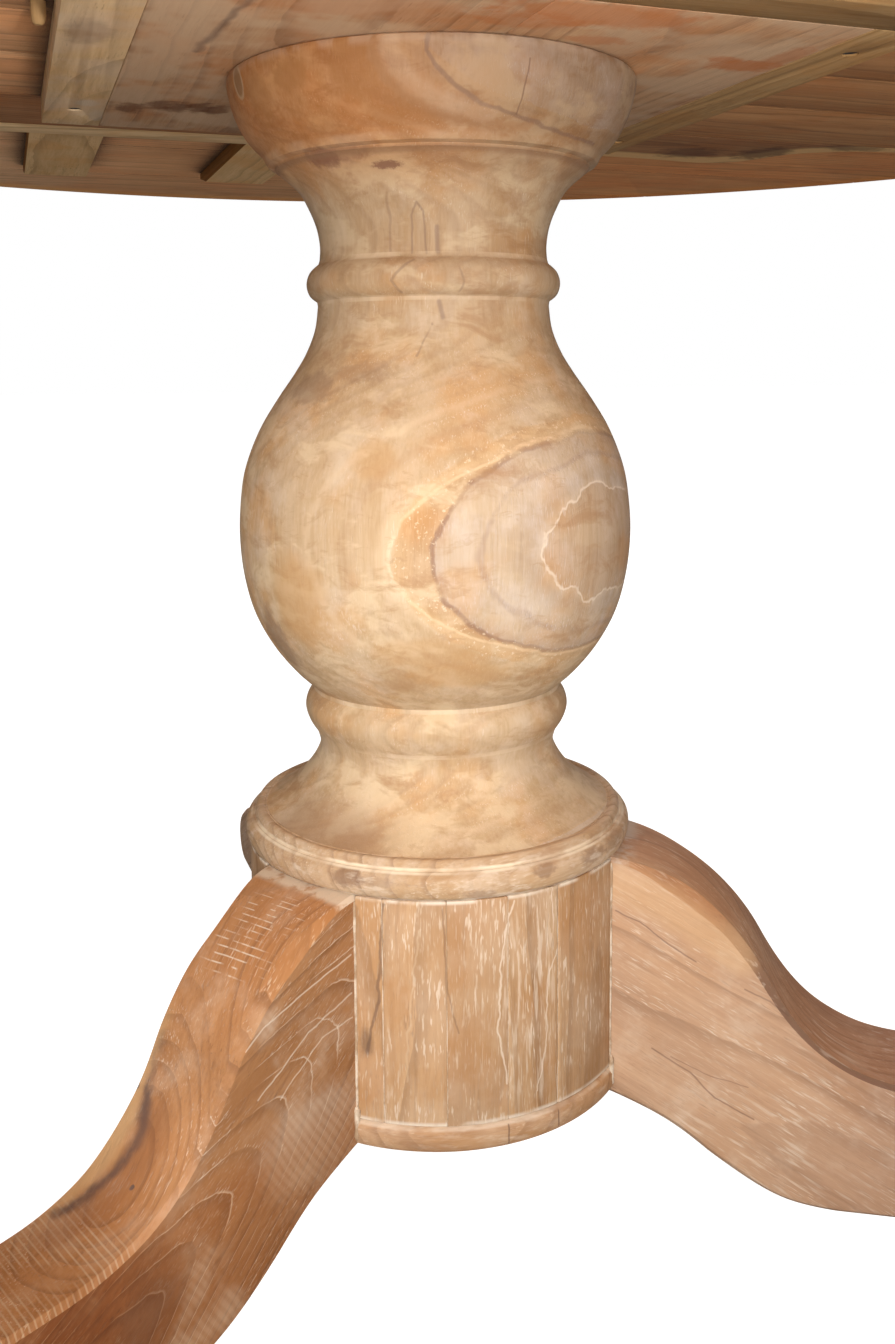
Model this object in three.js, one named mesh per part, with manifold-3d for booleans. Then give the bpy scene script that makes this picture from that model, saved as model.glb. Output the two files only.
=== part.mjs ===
// Round pedestal table in reclaimed teak: a plank top on battens, a turned column and three sawn legs.
// Millimetres, +Z up. The origin is on the floor, on the column's axis.
// The battens and the rear leg run along +Y, the planks run along X.
import * as THREE from 'three';
import Module from 'manifold-3d';
import * as BufferGeometryUtils from 'three/addons/utils/BufferGeometryUtils.js';

const wasm = await Module();
wasm.setup();

// Driving dimensions.
const GAP = 0.3; // clearance kept between neighbouring pieces
const TOP_RADIUS = 900;
const TOP_UNDERSIDE = 726;
const TOP_THICKNESS = 35;
const TOP_EDGE_EASE = 5; // chamfer round the rim
const PLANK_COUNT = 10;
const TONGUE = 9; // width and length of a plank's tongue

const PANEL_BOTTOM = 697; // plank panel under the battens
const BATTEN_BOTTOM = 711;
const PLATE_BOTTOM = 679; // mounting plate on the column's capital
const PLATE_LEFT = -182;
const PLATE_RIGHT = 178;
const PLATE_NEAR = -187;
const PLATE_FAR = 193;
const CLEAT_WIDTH = 38;

const CORE_RADIUS = 95;
const CORE_FLAT = 85; // distance of a leg's seat from the axis
const HUB_RADIUS = 119.2;
const HUB_BOTTOM = 68;
const HUB_TOP = 215.2;
const BAND_RADIUS = 121.2;
const BAND_TOP = 83.5;
const RING_TOP = 237;
const COLUMN_FOOT = 170; // lower end of the column's tenon
const FOOT_TENON_RADIUS = 32;
const HEAD_TENON_RADIUS = 40;
const BOLT_RADIUS = 6;

const LEG_ANGLES = [90, 210, 330]; // degrees about +Z from +X
const LEG_THICKNESS = 73.4;
const LEG_REACH = 540; // toe's distance from the axis
const GLIDE_DISTANCE = 485;
const LEG_TOP = 215;
const GLIDE_HEIGHT = 3;
const SCREW_HEIGHT = 115; // leg screws
const SCREW_RADIUS = 5;
const DOWEL_HEIGHT = 180;
const DOWEL_RADIUS = 7;

const table = new THREE.Group();

// Materials.
const WOODS = {
  top: 0x9a6b45,
  panel: 0x7f5a41,
  plate: 0x97785f,
  pale: 0xb08a5e,
  column: 0xdcb984,
  hub: 0xc48f60,
  leg: 0xb9794c,
};

function wood(kind) {
  return new THREE.MeshStandardMaterial({ color: WOODS[kind], roughness: 0.75, metalness: 0 });
}

function steel() {
  return new THREE.MeshStandardMaterial({ color: 0x8d8f92, roughness: 0.4, metalness: 1 });
}

function nylon() {
  return new THREE.MeshStandardMaterial({ color: 0x2b2a29, roughness: 0.6, metalness: 0 });
}

// Solids.
function toSolid(geometry) {
  const bare = geometry.index ? geometry.clone() : geometry;
  bare.deleteAttribute('normal');
  bare.deleteAttribute('uv');
  const merged = BufferGeometryUtils.mergeVertices(bare, 1e-3);
  const mesh = new wasm.Mesh({
    numProp: 3,
    vertProperties: new Float32Array(merged.attributes.position.array),
    triVerts: new Uint32Array(merged.index.array),
  });
  return new wasm.Manifold(mesh);
}

function toGeometry(solid) {
  const mesh = solid.getMesh();
  const geometry = new THREE.BufferGeometry();
  geometry.setAttribute('position', new THREE.BufferAttribute(new Float32Array(mesh.vertProperties), 3));
  geometry.setIndex(new THREE.BufferAttribute(new Uint32Array(mesh.triVerts), 1));
  return geometry;
}

function add(name, geometry, material) {
  const mesh = new THREE.Mesh(geometry, material);
  mesh.name = name;
  table.add(mesh);
  return mesh;
}

function box(x0, x1, y0, y1, z0, z1) {
  const geometry = new THREE.BoxGeometry(x1 - x0, y1 - y0, z1 - z0);
  return geometry.translate((x0 + x1) / 2, (y0 + y1) / 2, (z0 + z1) / 2);
}

// A cylinder about Z.
function rod(radius, z0, z1, segments = 24) {
  const geometry = new THREE.CylinderGeometry(radius, radius, z1 - z0, segments);
  return geometry.rotateX(Math.PI / 2).translate(0, 0, (z0 + z1) / 2);
}

// A cylinder along X, at a height above the floor.
function radialRod(radius, x0, x1, height, segments = 16) {
  const geometry = new THREE.CylinderGeometry(radius, radius, x1 - x0, segments);
  return geometry.rotateZ(Math.PI / 2).translate((x0 + x1) / 2, 0, height);
}

// A turned solid: points are [radius, height], from the axis to the axis or round a closed section.
function turned(points, segments) {
  const profile = points.map(([r, z]) => new THREE.Vector2(r, z));
  const geometry = new THREE.LatheGeometry(profile, segments);
  return geometry.rotateX(Math.PI / 2);
}

function spline(points, divisions) {
  const curve = new THREE.SplineCurve(points.map(([r, z]) => new THREE.Vector2(r, z)));
  return curve.getPoints(divisions).map((p) => [p.x, p.y]);
}

// An outline drawn in X and Z, given a thickness along Y about y = 0.
function slab(shape, thickness, edge, curveSegments) {
  const geometry = new THREE.ExtrudeGeometry(shape, {
    depth: thickness - 2 * edge,
    bevelEnabled: edge > 0,
    bevelThickness: edge,
    bevelSize: edge,
    bevelOffset: -edge,
    bevelSegments: 1,
    curveSegments,
  });
  return geometry.translate(0, 0, -(thickness - 2 * edge) / 2).rotateX(Math.PI / 2);
}

// Top: tongue-and-groove planks cut to one disc with an eased rim.
function topDisc() {
  const high = TOP_UNDERSIDE + TOP_THICKNESS;
  return turned([
    [0, TOP_UNDERSIDE],
    [TOP_RADIUS - TOP_EDGE_EASE, TOP_UNDERSIDE],
    [TOP_RADIUS, TOP_UNDERSIDE + TOP_EDGE_EASE],
    [TOP_RADIUS, high - TOP_EDGE_EASE],
    [TOP_RADIUS - TOP_EDGE_EASE, high],
    [0, high],
  ], 120);
}

function plankBlank(y0, y1, hasTongue, hasGroove) {
  const z0 = TOP_UNDERSIDE;
  const z1 = TOP_UNDERSIDE + TOP_THICKNESS;
  const middle = (z0 + z1) / 2;
  const half = TONGUE / 2;
  const shape = new THREE.Shape();
  shape.moveTo(y0, z0);
  shape.lineTo(y1, z0);
  if (hasTongue) {
    shape.lineTo(y1, middle - half + GAP);
    shape.lineTo(y1 + TONGUE, middle - half + GAP);
    shape.lineTo(y1 + TONGUE, middle + half - GAP);
    shape.lineTo(y1, middle + half - GAP);
  }
  shape.lineTo(y1, z1);
  shape.lineTo(y0, z1);
  if (hasGroove) {
    shape.lineTo(y0, middle + half);
    shape.lineTo(y0 + TONGUE + GAP, middle + half);
    shape.lineTo(y0 + TONGUE + GAP, middle - half);
    shape.lineTo(y0, middle - half);
  }
  const length = 2 * TOP_RADIUS + 20;
  const geometry = new THREE.ExtrudeGeometry(shape, { depth: length, bevelEnabled: false });
  // The outline's X and Y become the table's Y and Z, and the length runs along X.
  const turn = new THREE.Matrix4().makeBasis(
    new THREE.Vector3(0, 1, 0),
    new THREE.Vector3(0, 0, 1),
    new THREE.Vector3(1, 0, 0),
  );
  return geometry.translate(0, 0, -length / 2).applyMatrix4(turn);
}

function addTop() {
  const disc = toSolid(topDisc());
  const pitch = (2 * TOP_RADIUS) / PLANK_COUNT;
  for (let i = 0; i < PLANK_COUNT; i += 1) {
    const y0 = -TOP_RADIUS + i * pitch + (i > 0 ? GAP : -10);
    const last = i === PLANK_COUNT - 1;
    const y1 = -TOP_RADIUS + (i + 1) * pitch + (last ? 10 : 0);
    const blank = toSolid(plankBlank(y0, y1, !last, i > 0));
    add(`top_plank_${i + 1}`, toGeometry(blank.intersect(disc)), wood('top'));
  }
}

// Battens under the top, with their ends cut back in a slope.
function addBattens() {
  const width = 62;
  const end = 690;
  const slope = 40;
  const z1 = TOP_UNDERSIDE - GAP;
  const shape = new THREE.Shape();
  shape.moveTo(-end + slope, BATTEN_BOTTOM);
  shape.lineTo(end - slope, BATTEN_BOTTOM);
  shape.lineTo(end, BATTEN_BOTTOM + 8);
  shape.lineTo(end, z1);
  shape.lineTo(-end, z1);
  shape.lineTo(-end, BATTEN_BOTTOM + 8);
  const names = ['batten_left', 'batten_middle', 'batten_right'];
  [-192, -6, 180].forEach((x, i) => {
    const geometry = slab(shape, width, 0, 1);
    geometry.rotateZ(Math.PI / 2).translate(x, 0, 0);
    add(names[i], geometry, wood('pale'));
  });
}

// Panel of planks under the battens: straight joints, a bark-edged last plank and a lath on its far edge.
const PANEL_JOINTS = [-312, -215, -118, -23, 72, 190];
const PANEL_LEFT = -480;
const PANEL_END = 520;
const LATH_END = 236;

function addPanel() {
  const z0 = PANEL_BOTTOM + GAP;
  const z1 = BATTEN_BOTTOM - GAP;
  for (let i = 0; i + 1 < PANEL_JOINTS.length; i += 1) {
    const y0 = PANEL_JOINTS[i] + GAP;
    const geometry = box(PANEL_LEFT, PANEL_END, y0, PANEL_JOINTS[i + 1], z0, z1);
    add(`panel_plank_${i + 1}`, geometry, wood('panel'));
  }
  const edge = new THREE.Shape();
  edge.moveTo(PANEL_LEFT, PANEL_JOINTS[5] + GAP);
  edge.lineTo(PANEL_END, PANEL_JOINTS[5] + GAP);
  edge.lineTo(PANEL_END, 206);
  edge.splineThru([
    new THREE.Vector2(470, 214),
    new THREE.Vector2(424, 240),
    new THREE.Vector2(400, 290),
    new THREE.Vector2(368, 308),
    new THREE.Vector2(310, 303),
    new THREE.Vector2(LATH_END, 300),
  ]);
  edge.lineTo(PANEL_LEFT, 300);
  const waney = new THREE.ExtrudeGeometry(edge, { depth: z1 - z0, bevelEnabled: false, curveSegments: 4 });
  add('panel_plank_6_waney', waney.translate(0, 0, z0), wood('panel'));
  add('panel_lath', box(PANEL_LEFT, LATH_END, 300 + GAP, 336, z0, z1), wood('pale'));
}

// Mounting plate: two boards bored for the column's head tenon, with cleats on three sides.
function addPlate() {
  const z0 = PLATE_BOTTOM + GAP;
  const z1 = PANEL_BOTTOM;
  const bore = toSolid(rod(HEAD_TENON_RADIUS + GAP, z0 - 5, z1 + 5, 40));
  const left = toSolid(box(PLATE_LEFT + GAP, -GAP, PLATE_NEAR, PLATE_FAR, z0, z1)).subtract(bore);
  const right = toSolid(box(0, PLATE_RIGHT - GAP, PLATE_NEAR, PLATE_FAR, z0, z1)).subtract(bore);
  add('mounting_plate_left', toGeometry(left), wood('plate'));
  add('mounting_plate_right', toGeometry(right), wood('plate'));

  const outerLeft = PLATE_LEFT - CLEAT_WIDTH;
  const outerRight = PLATE_RIGHT + CLEAT_WIDTH;
  const screwY = 140;
  const cleats = [
    ['cleat_left', outerLeft, PLATE_LEFT],
    ['cleat_right', PLATE_RIGHT, outerRight],
  ];
  cleats.forEach(([name, x0, x1]) => {
    let solid = toSolid(box(x0, x1, PLATE_NEAR, PLATE_FAR, z0, z1));
    [-screwY, screwY].forEach((y, i) => {
      const x = (x0 + x1) / 2;
      const hole = screwPocket(GAP).translate(x, y, z0);
      solid = solid.subtract(toSolid(hole));
      const screw = cleatScrew().translate(x, y, z0 + 1);
      add(`${name}_screw_${i + 1}`, screw, steel());
    });
    add(name, toGeometry(solid), wood('pale'));
  });
  const near = box(outerLeft, outerRight, PLATE_NEAR - CLEAT_WIDTH, PLATE_NEAR - GAP, z0, z1);
  add('cleat_near', near, wood('pale'));
}

// A countersunk screw set 1 mm into a cleat's underside, reaching up to the panel.
const CLEAT_SCREW_HEAD = 4.5;
const CLEAT_SCREW_SHANK = 2.2;

function cleatScrew() {
  return turned([
    [0, 0],
    [CLEAT_SCREW_HEAD, 0],
    [CLEAT_SCREW_SHANK, 3],
    [CLEAT_SCREW_SHANK, 16],
    [0, 16],
  ], 16);
}

function screwPocket(clearance) {
  return turned([
    [0, -1],
    [CLEAT_SCREW_HEAD + clearance, -1],
    [CLEAT_SCREW_HEAD + clearance, 1.2],
    [CLEAT_SCREW_SHANK + clearance, 4.2],
    [CLEAT_SCREW_SHANK + clearance, 19],
    [0, 19],
  ], 16);
}

// A wooden locating peg beside the left cleat, standing under the panel.
function addPeg() {
  const peg = rod(5, PANEL_BOTTOM - 16, PANEL_BOTTOM, 16);
  add('locating_peg', peg.translate(PLATE_LEFT - CLEAT_WIDTH - 8, -42, 0), wood('pale'));
}

// Column, turned from one log: tenon, dished foot, bead, bulb, bead, flared neck, bowl and head tenon.
function columnProfile() {
  const boltHole = BOLT_RADIUS + GAP;
  return [
    [0, 232],
    [boltHole, 230],
    [boltHole, COLUMN_FOOT],
    [FOOT_TENON_RADIUS, COLUMN_FOOT],
    [FOOT_TENON_RADIUS, 232],
    [108, 232],
    ...spline([[108.5, 236.4], [101, 240.5], [89, 250], [79.5, 261.5], [74, 273], [75.2, 281]], 8),
    ...spline([[76.4, 284], [80.6, 290.5], [82.8, 298], [81.2, 305], [77.6, 309.5]], 6),
    ...spline([
      [77.5, 312], [90, 323.5], [103, 340], [113.3, 360], [119.2, 383], [121.4, 407],
      [120.1, 430], [116.6, 449], [108, 471], [97, 489.5], [86, 505.5], [78.5, 518], [73, 532], [71, 546],
    ], 18),
    ...spline([[71.4, 548.5], [76, 552.5], [77.8, 559.2], [75.8, 566], [70.6, 571]], 6),
    ...spline([[69.8, 573.5], [69.4, 582], [71.2, 593], [75.4, 604], [82, 615.5], [95, 627]], 8),
    [101, 633],
    ...spline([[103, 635.5], [112, 645], [118.5, 657], [122, 669], [123, 676]], 6),
    [122, PLATE_BOTTOM],
    [HEAD_TENON_RADIUS, PLATE_BOTTOM],
    [HEAD_TENON_RADIUS, PANEL_BOTTOM - 1],
    [0, PANEL_BOTTOM - 1],
  ];
}

function addColumn() {
  add('column', turned(columnProfile(), 36), wood('column'));
}

// Plinth ring between the hub and the column: a half round under a raised inner lip.
function addPlinthRing() {
  const bore = FOOT_TENON_RADIUS + GAP;
  const seat = 232 - GAP;
  const lipInner = 108.5 + GAP;
  const points = [
    [bore, HUB_TOP + GAP],
    [118, HUB_TOP + GAP],
    ...spline([[120.4, 217.6], [121.8, 222.5], [121, 228], [117.6, 231.6]], 5),
    [116.2, 231.8],
    ...spline([[115.6, 234], [114, 236.6], [111.5, RING_TOP], [109.6, 236]], 4),
    [lipInner, seat],
    [bore, seat],
    [bore, HUB_TOP + GAP],
  ];
  add('plinth_ring', turned(points, 36), wood('hub'));
}

// Everything that a leg needs taken out of the hub, for a leg pointing along +X.
function legSlot(z0, z1) {
  const half = LEG_THICKNESS / 2 + GAP;
  return box(CORE_FLAT, 200, -half, half, z0, z1);
}

function atLeg(geometry, degrees) {
  return geometry.rotateZ(THREE.MathUtils.degToRad(degrees));
}

// Hub core: a turned block with three seats, a socket for the column and a bore for the fixings.
const FIXING_BORE = 28;
const FIXING_BORE_TOP = 140;

function addCore() {
  let solid = toSolid(rod(CORE_RADIUS, BAND_TOP + GAP, HUB_TOP, 48));
  const bore = rod(FIXING_BORE, 0, FIXING_BORE_TOP, 32);
  const socket = rod(FOOT_TENON_RADIUS + GAP, COLUMN_FOOT - 1, HUB_TOP + 5, 32);
  const boltHole = rod(BOLT_RADIUS + 1, FIXING_BORE_TOP - 5, COLUMN_FOOT, 16);
  [bore, socket, boltHole].forEach((cut) => {
    solid = solid.subtract(toSolid(cut));
  });
  LEG_ANGLES.forEach((degrees) => {
    const cuts = [
      legSlot(0, 300),
      radialRod(SCREW_RADIUS + GAP, FIXING_BORE - 6, 100, SCREW_HEIGHT),
      radialRod(DOWEL_RADIUS + GAP, 58, 100, DOWEL_HEIGHT),
    ];
    cuts.forEach((cut) => {
      solid = solid.subtract(toSolid(atLeg(cut, degrees)));
    });
  });
  add('hub_core', toGeometry(solid), wood('hub'));
}

// Staves: they fill the hub's surface between the legs. Each sector's joints are degrees from its middle.
const STAVE_SECTORS = [
  { name: 'right', middle: 30, joints: [-19.7, 0, 19.7] },
  { name: 'left', middle: 150, joints: [-19.7, 0, 19.7] },
  { name: 'front', middle: 270, joints: [-34.2, -16.7, 0.2, 16.2] },
];
const SECTOR_HALF = 60; // degrees

function wedge(fromDegrees, toDegrees) {
  const reach = 1.4 * HUB_RADIUS;
  const shape = new THREE.Shape();
  shape.moveTo(0, 0);
  [fromDegrees, toDegrees].forEach((degrees) => {
    const a = THREE.MathUtils.degToRad(degrees);
    shape.lineTo(reach * Math.cos(a), reach * Math.sin(a));
  });
  return toSolid(new THREE.ExtrudeGeometry(shape, { depth: HUB_TOP + 1, bevelEnabled: false }));
}

function addStaves() {
  const half = THREE.MathUtils.degToRad(SECTOR_HALF);
  const sector = new THREE.Shape();
  sector.absarc(0, 0, HUB_RADIUS, -half, half, false);
  sector.absarc(0, 0, CORE_RADIUS + GAP, half, -half, true);
  const z0 = BAND_TOP + GAP;
  const blank = new THREE.ExtrudeGeometry(sector, { depth: HUB_TOP - z0, bevelEnabled: false, curveSegments: 24 });
  const gapDegrees = THREE.MathUtils.radToDeg(GAP / HUB_RADIUS);
  STAVE_SECTORS.forEach(({ name, middle, joints }) => {
    let solid = toSolid(atLeg(blank.clone().translate(0, 0, z0), middle));
    LEG_ANGLES.forEach((leg) => {
      solid = solid.subtract(toSolid(atLeg(legSlot(0, 300), leg)));
    });
    const edges = [-SECTOR_HALF, ...joints, SECTOR_HALF];
    for (let i = 0; i + 1 < edges.length; i += 1) {
      const from = middle + edges[i] + (i > 0 ? gapDegrees : 0);
      const stave = solid.intersect(wedge(from, middle + edges[i + 1]));
      add(`stave_${name}_${i + 1}`, toGeometry(stave), wood('hub'));
    }
  });
}

// Bottom band: a turned disc under the core, slotted for the legs.
function addBand() {
  let solid = toSolid(turned([
    [FIXING_BORE, HUB_BOTTOM],
    [BAND_RADIUS - 3, HUB_BOTTOM],
    [BAND_RADIUS, HUB_BOTTOM + 3],
    [BAND_RADIUS, BAND_TOP - 3],
    [BAND_RADIUS - 2.5, BAND_TOP],
    [FIXING_BORE, BAND_TOP],
    [FIXING_BORE, HUB_BOTTOM],
  ], 48));
  LEG_ANGLES.forEach((degrees) => {
    solid = solid.subtract(toSolid(atLeg(legSlot(0, 300), degrees)));
  });
  add('hub_bottom_band', toGeometry(solid), wood('hub'));
}

// A leg's side outline, as distance from the axis and height.
function legOutline() {
  const inner = CORE_FLAT + GAP;
  const sole = GLIDE_HEIGHT + GAP;
  const shape = new THREE.Shape();
  shape.moveTo(inner, LEG_TOP);
  shape.lineTo(112, LEG_TOP);
  shape.bezierCurveTo(150, 210, 184, 186, 205, 148);
  shape.bezierCurveTo(228, 106, 252, 84, 312, 84);
  shape.bezierCurveTo(400, 84, 455, 80, 495, 66);
  shape.bezierCurveTo(522, 56, LEG_REACH, 44, LEG_REACH, 28);
  shape.bezierCurveTo(LEG_REACH, 12, 528, sole, 512, sole);
  shape.lineTo(250, sole);
  shape.bezierCurveTo(212, sole + 1, 196, 18, 172, 34);
  shape.bezierCurveTo(154, 48, 136, 58, 112, 66);
  shape.lineTo(inner, 67);
  shape.closePath();
  return shape;
}

function addLegs() {
  const names = ['leg_rear', 'leg_left', 'leg_right'];
  const blank = toSolid(slab(legOutline(), LEG_THICKNESS, 3, 8));
  const holes = [
    radialRod(SCREW_RADIUS + GAP, 60, 151, SCREW_HEIGHT),
    radialRod(DOWEL_RADIUS + GAP, 60, 131, DOWEL_HEIGHT),
    rod(4 + GAP, 0, 12, 12).translate(GLIDE_DISTANCE, 0, 0),
  ];
  let solid = blank;
  holes.forEach((hole) => {
    solid = solid.subtract(toSolid(hole));
  });
  LEG_ANGLES.forEach((degrees, i) => {
    add(names[i], atLeg(toGeometry(solid), degrees), wood('leg'));
    add(`${names[i]}_dowel`, atLeg(radialRod(DOWEL_RADIUS, 59, 130, DOWEL_HEIGHT), degrees), wood('pale'));
    add(`${names[i]}_screw`, atLeg(legScrew(), degrees), steel());
    add(`${names[i]}_glide`, atLeg(glide(), degrees), nylon());
  });
}

// A hexagon-head screw that pulls a leg onto its seat, from inside the hub's bore.
function legScrew() {
  const head = radialRod(8.5, FIXING_BORE - 8, FIXING_BORE - 2, SCREW_HEIGHT, 6);
  const shank = radialRod(SCREW_RADIUS, FIXING_BORE - 4, 150, SCREW_HEIGHT);
  return toGeometry(toSolid(head).add(toSolid(shank)));
}

// A nail-in glide under the toe.
function glide() {
  const geometry = turned([
    [0, 0],
    [15, 0],
    [16, 1],
    [16, GLIDE_HEIGHT],
    [4, GLIDE_HEIGHT],
    [4, 11],
    [0, 11],
  ], 16);
  return geometry.translate(GLIDE_DISTANCE, 0, 0);
}

// The bolt that holds the column down on the hub.
function addColumnBolt() {
  const head = rod(11, FIXING_BORE_TOP - 8 - GAP, FIXING_BORE_TOP - GAP, 6);
  const washer = rod(14, FIXING_BORE_TOP - 3, FIXING_BORE_TOP - GAP, 24);
  const shank = rod(BOLT_RADIUS, FIXING_BORE_TOP - 5, 228, 16);
  const solid = toSolid(head).add(toSolid(washer)).add(toSolid(shank));
  add('column_bolt', toGeometry(solid), steel());
}

addTop();
addBattens();
addPanel();
addPlate();
addPeg();
addColumn();
addPlinthRing();
addCore();
addStaves();
addBand();
addLegs();
addColumnBolt();

export default table;
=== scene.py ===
"""Round pedestal table in limed reclaimed teak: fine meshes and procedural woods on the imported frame.

Metres, +Z up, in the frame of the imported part: the origin is on the floor, on the column's axis.
"""

import math
import random

import bmesh
import bpy
from mathutils import Matrix, Vector, noise


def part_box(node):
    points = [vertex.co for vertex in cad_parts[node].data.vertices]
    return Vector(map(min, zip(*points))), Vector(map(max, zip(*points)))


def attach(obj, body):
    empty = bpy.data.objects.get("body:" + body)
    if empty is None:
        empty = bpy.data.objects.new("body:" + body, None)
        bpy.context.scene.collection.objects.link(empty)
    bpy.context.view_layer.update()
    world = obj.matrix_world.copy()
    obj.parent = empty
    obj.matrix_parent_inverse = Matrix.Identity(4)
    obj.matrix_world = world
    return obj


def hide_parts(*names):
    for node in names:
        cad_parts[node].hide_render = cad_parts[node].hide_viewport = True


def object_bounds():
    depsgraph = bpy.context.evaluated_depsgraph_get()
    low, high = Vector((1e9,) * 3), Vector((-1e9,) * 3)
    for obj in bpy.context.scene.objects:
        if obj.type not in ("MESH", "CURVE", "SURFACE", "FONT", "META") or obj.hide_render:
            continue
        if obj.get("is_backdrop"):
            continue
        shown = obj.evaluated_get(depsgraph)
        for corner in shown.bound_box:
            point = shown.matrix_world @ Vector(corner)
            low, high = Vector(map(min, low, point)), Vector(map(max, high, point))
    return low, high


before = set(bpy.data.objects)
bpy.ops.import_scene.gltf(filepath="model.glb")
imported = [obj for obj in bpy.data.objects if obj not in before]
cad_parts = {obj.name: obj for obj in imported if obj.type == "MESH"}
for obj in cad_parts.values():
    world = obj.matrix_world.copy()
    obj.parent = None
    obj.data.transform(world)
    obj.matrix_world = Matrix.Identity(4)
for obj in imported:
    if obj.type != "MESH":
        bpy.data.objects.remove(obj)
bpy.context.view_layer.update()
MM = 0.001
LEG_ANGLES = {"leg_rear": 90, "leg_left": 210, "leg_right": 330}  # degrees about +Z from +X
LEG_HALF = 73.4 / 2

# ---------------------------------------------------------------- camera, light, floor
CAMERA_PLACE = (-0.25338, -0.74429, 0.50652)
CAMERA_FORWARD = (0.32985, 0.93823, -0.10453)
CAMERA_UP = (0.04109, 0.09635, 0.9945)
CAMERA_LENS = 33.72
CAMERA_SHIFT = -0.1257


def add_camera():
    data = bpy.data.cameras.new("camera")
    data.lens = CAMERA_LENS
    data.sensor_width = 36.0
    data.shift_y = CAMERA_SHIFT
    data.clip_start = 0.01
    camera = bpy.data.objects.new("camera", data)
    back = -Vector(CAMERA_FORWARD).normalized()
    right = Vector(CAMERA_UP).cross(back).normalized()
    up = back.cross(right)
    turn = Matrix((right, up, back)).transposed().to_4x4()
    camera.matrix_world = Matrix.Translation(CAMERA_PLACE) @ turn
    bpy.context.scene.collection.objects.link(camera)
    bpy.context.scene.camera = camera


LAMPS = (
    # name, place, height aimed at on the axis, diameter, watts
    ("key", (-0.12, -0.88, 0.53), 0.4, 0.05, 3.85),
    ("key_soft", (-0.3, -0.96, 0.37), 0.45, 0.36, 2.9),
    ("side", (-1.25, -1.1, 0.9), 0.33, 0.35, 10.0),
    ("overhead", (-1.2, -1.4, 3.2), 0.7, 1.8, 30.0),
    ("behind", (1.6, 2.2, 2.0), 0.5, 1.8, 45.0),
)
# How bright the world and the floor are as lights, and how bright the camera sees them.
WORLD_FILL, WORLD_SEEN = 0.2, 1.0
FLOOR_GLOW, FLOOR_SEEN = 0.03, 1.02


def area_light(name, place, height, size, power):
    data = bpy.data.lights.new(name, "AREA")
    data.shape = "DISK"
    data.size = size
    data.energy = power
    light = bpy.data.objects.new(name, data)
    light.location = place
    aim = Vector((0, 0, height)) - Vector(place)
    light.rotation_mode = "QUATERNION"
    light.rotation_quaternion = aim.to_track_quat("-Z", "Y")
    bpy.context.scene.collection.objects.link(light)


def white_to_camera(tree, socket, strength, seen):
    """Gives a background's strength one value as a light and another as the camera sees it."""
    level = tree.nodes.new("ShaderNodeMapRange")
    level.inputs["To Min"].default_value = strength
    level.inputs["To Max"].default_value = seen
    path = tree.nodes.new("ShaderNodeLightPath")
    tree.links.new(path.outputs["Is Camera Ray"], level.inputs["Value"])
    tree.links.new(level.outputs["Result"], socket)


def add_lights():
    for lamp in LAMPS:
        area_light(*lamp)
    world = bpy.data.worlds.new("studio")
    world.use_nodes = True
    tree = world.node_tree
    shade = tree.nodes["Background"]
    shade.inputs["Color"].default_value = (1.0, 1.0, 1.0, 1.0)
    white_to_camera(tree, shade.inputs["Strength"], WORLD_FILL, WORLD_SEEN)
    bpy.context.scene.world = world
    bpy.context.scene.view_settings.view_transform = "Standard"


def add_floor():
    material = bpy.data.materials.new("floor_pale")
    material.use_nodes = True
    tree = material.node_tree
    shade = tree.nodes["Principled BSDF"]
    shade.inputs["Base Color"].default_value = (0.34, 0.33, 0.32, 1.0)
    shade.inputs["Roughness"].default_value = 0.9
    shade.inputs["Specular IOR Level"].default_value = 0.1
    shade.inputs["Emission Color"].default_value = (1.0, 0.99, 0.98, 1.0)
    white_to_camera(tree, shade.inputs["Emission Strength"], FLOOR_GLOW, FLOOR_SEEN)
    mesh = bpy.data.meshes.new("floor")
    half = 30.0
    corners = [(-half, -half, 0), (half, -half, 0), (half, half, 0), (-half, half, 0)]
    mesh.from_pydata(corners, [], [(0, 1, 2, 3)])
    mesh.materials.append(material)
    floor = bpy.data.objects.new("floor", mesh)
    bpy.context.scene.collection.objects.link(floor)
    floor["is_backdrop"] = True


# ---------------------------------------------------------------- mesh helpers
def catmull(points, divisions):
    """A uniform Catmull-Rom spline through the points, as (r, z) pairs."""
    points = [Vector((p[0], p[1])) for p in points]
    last = len(points) - 1
    found = []
    for i in range(divisions + 1):
        place = last * i / divisions
        k = min(int(place), last - 1)
        t = place - k
        p0, p1, p2 = points[max(k - 1, 0)], points[k], points[k + 1]
        p3 = points[min(k + 2, last)]
        v0, v1 = (p2 - p0) * 0.5, (p3 - p1) * 0.5
        value = (2 * t**3 - 3 * t**2 + 1) * p1 + (t**3 - 2 * t**2 + t) * v0
        value += (-2 * t**3 + 3 * t**2) * p2 + (t**3 - t**2) * v1
        found.append((value.x, value.y))
    return found


def bezier(p0, p1, p2, p3, divisions):
    found = []
    for i in range(1, divisions + 1):
        t = i / divisions
        s = 1 - t
        found.append(tuple(
            s**3 * a + 3 * s * s * t * b + 3 * s * t * t * c + t**3 * d
            for a, b, c, d in zip(p0, p1, p2, p3)
        ))
    return found


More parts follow.
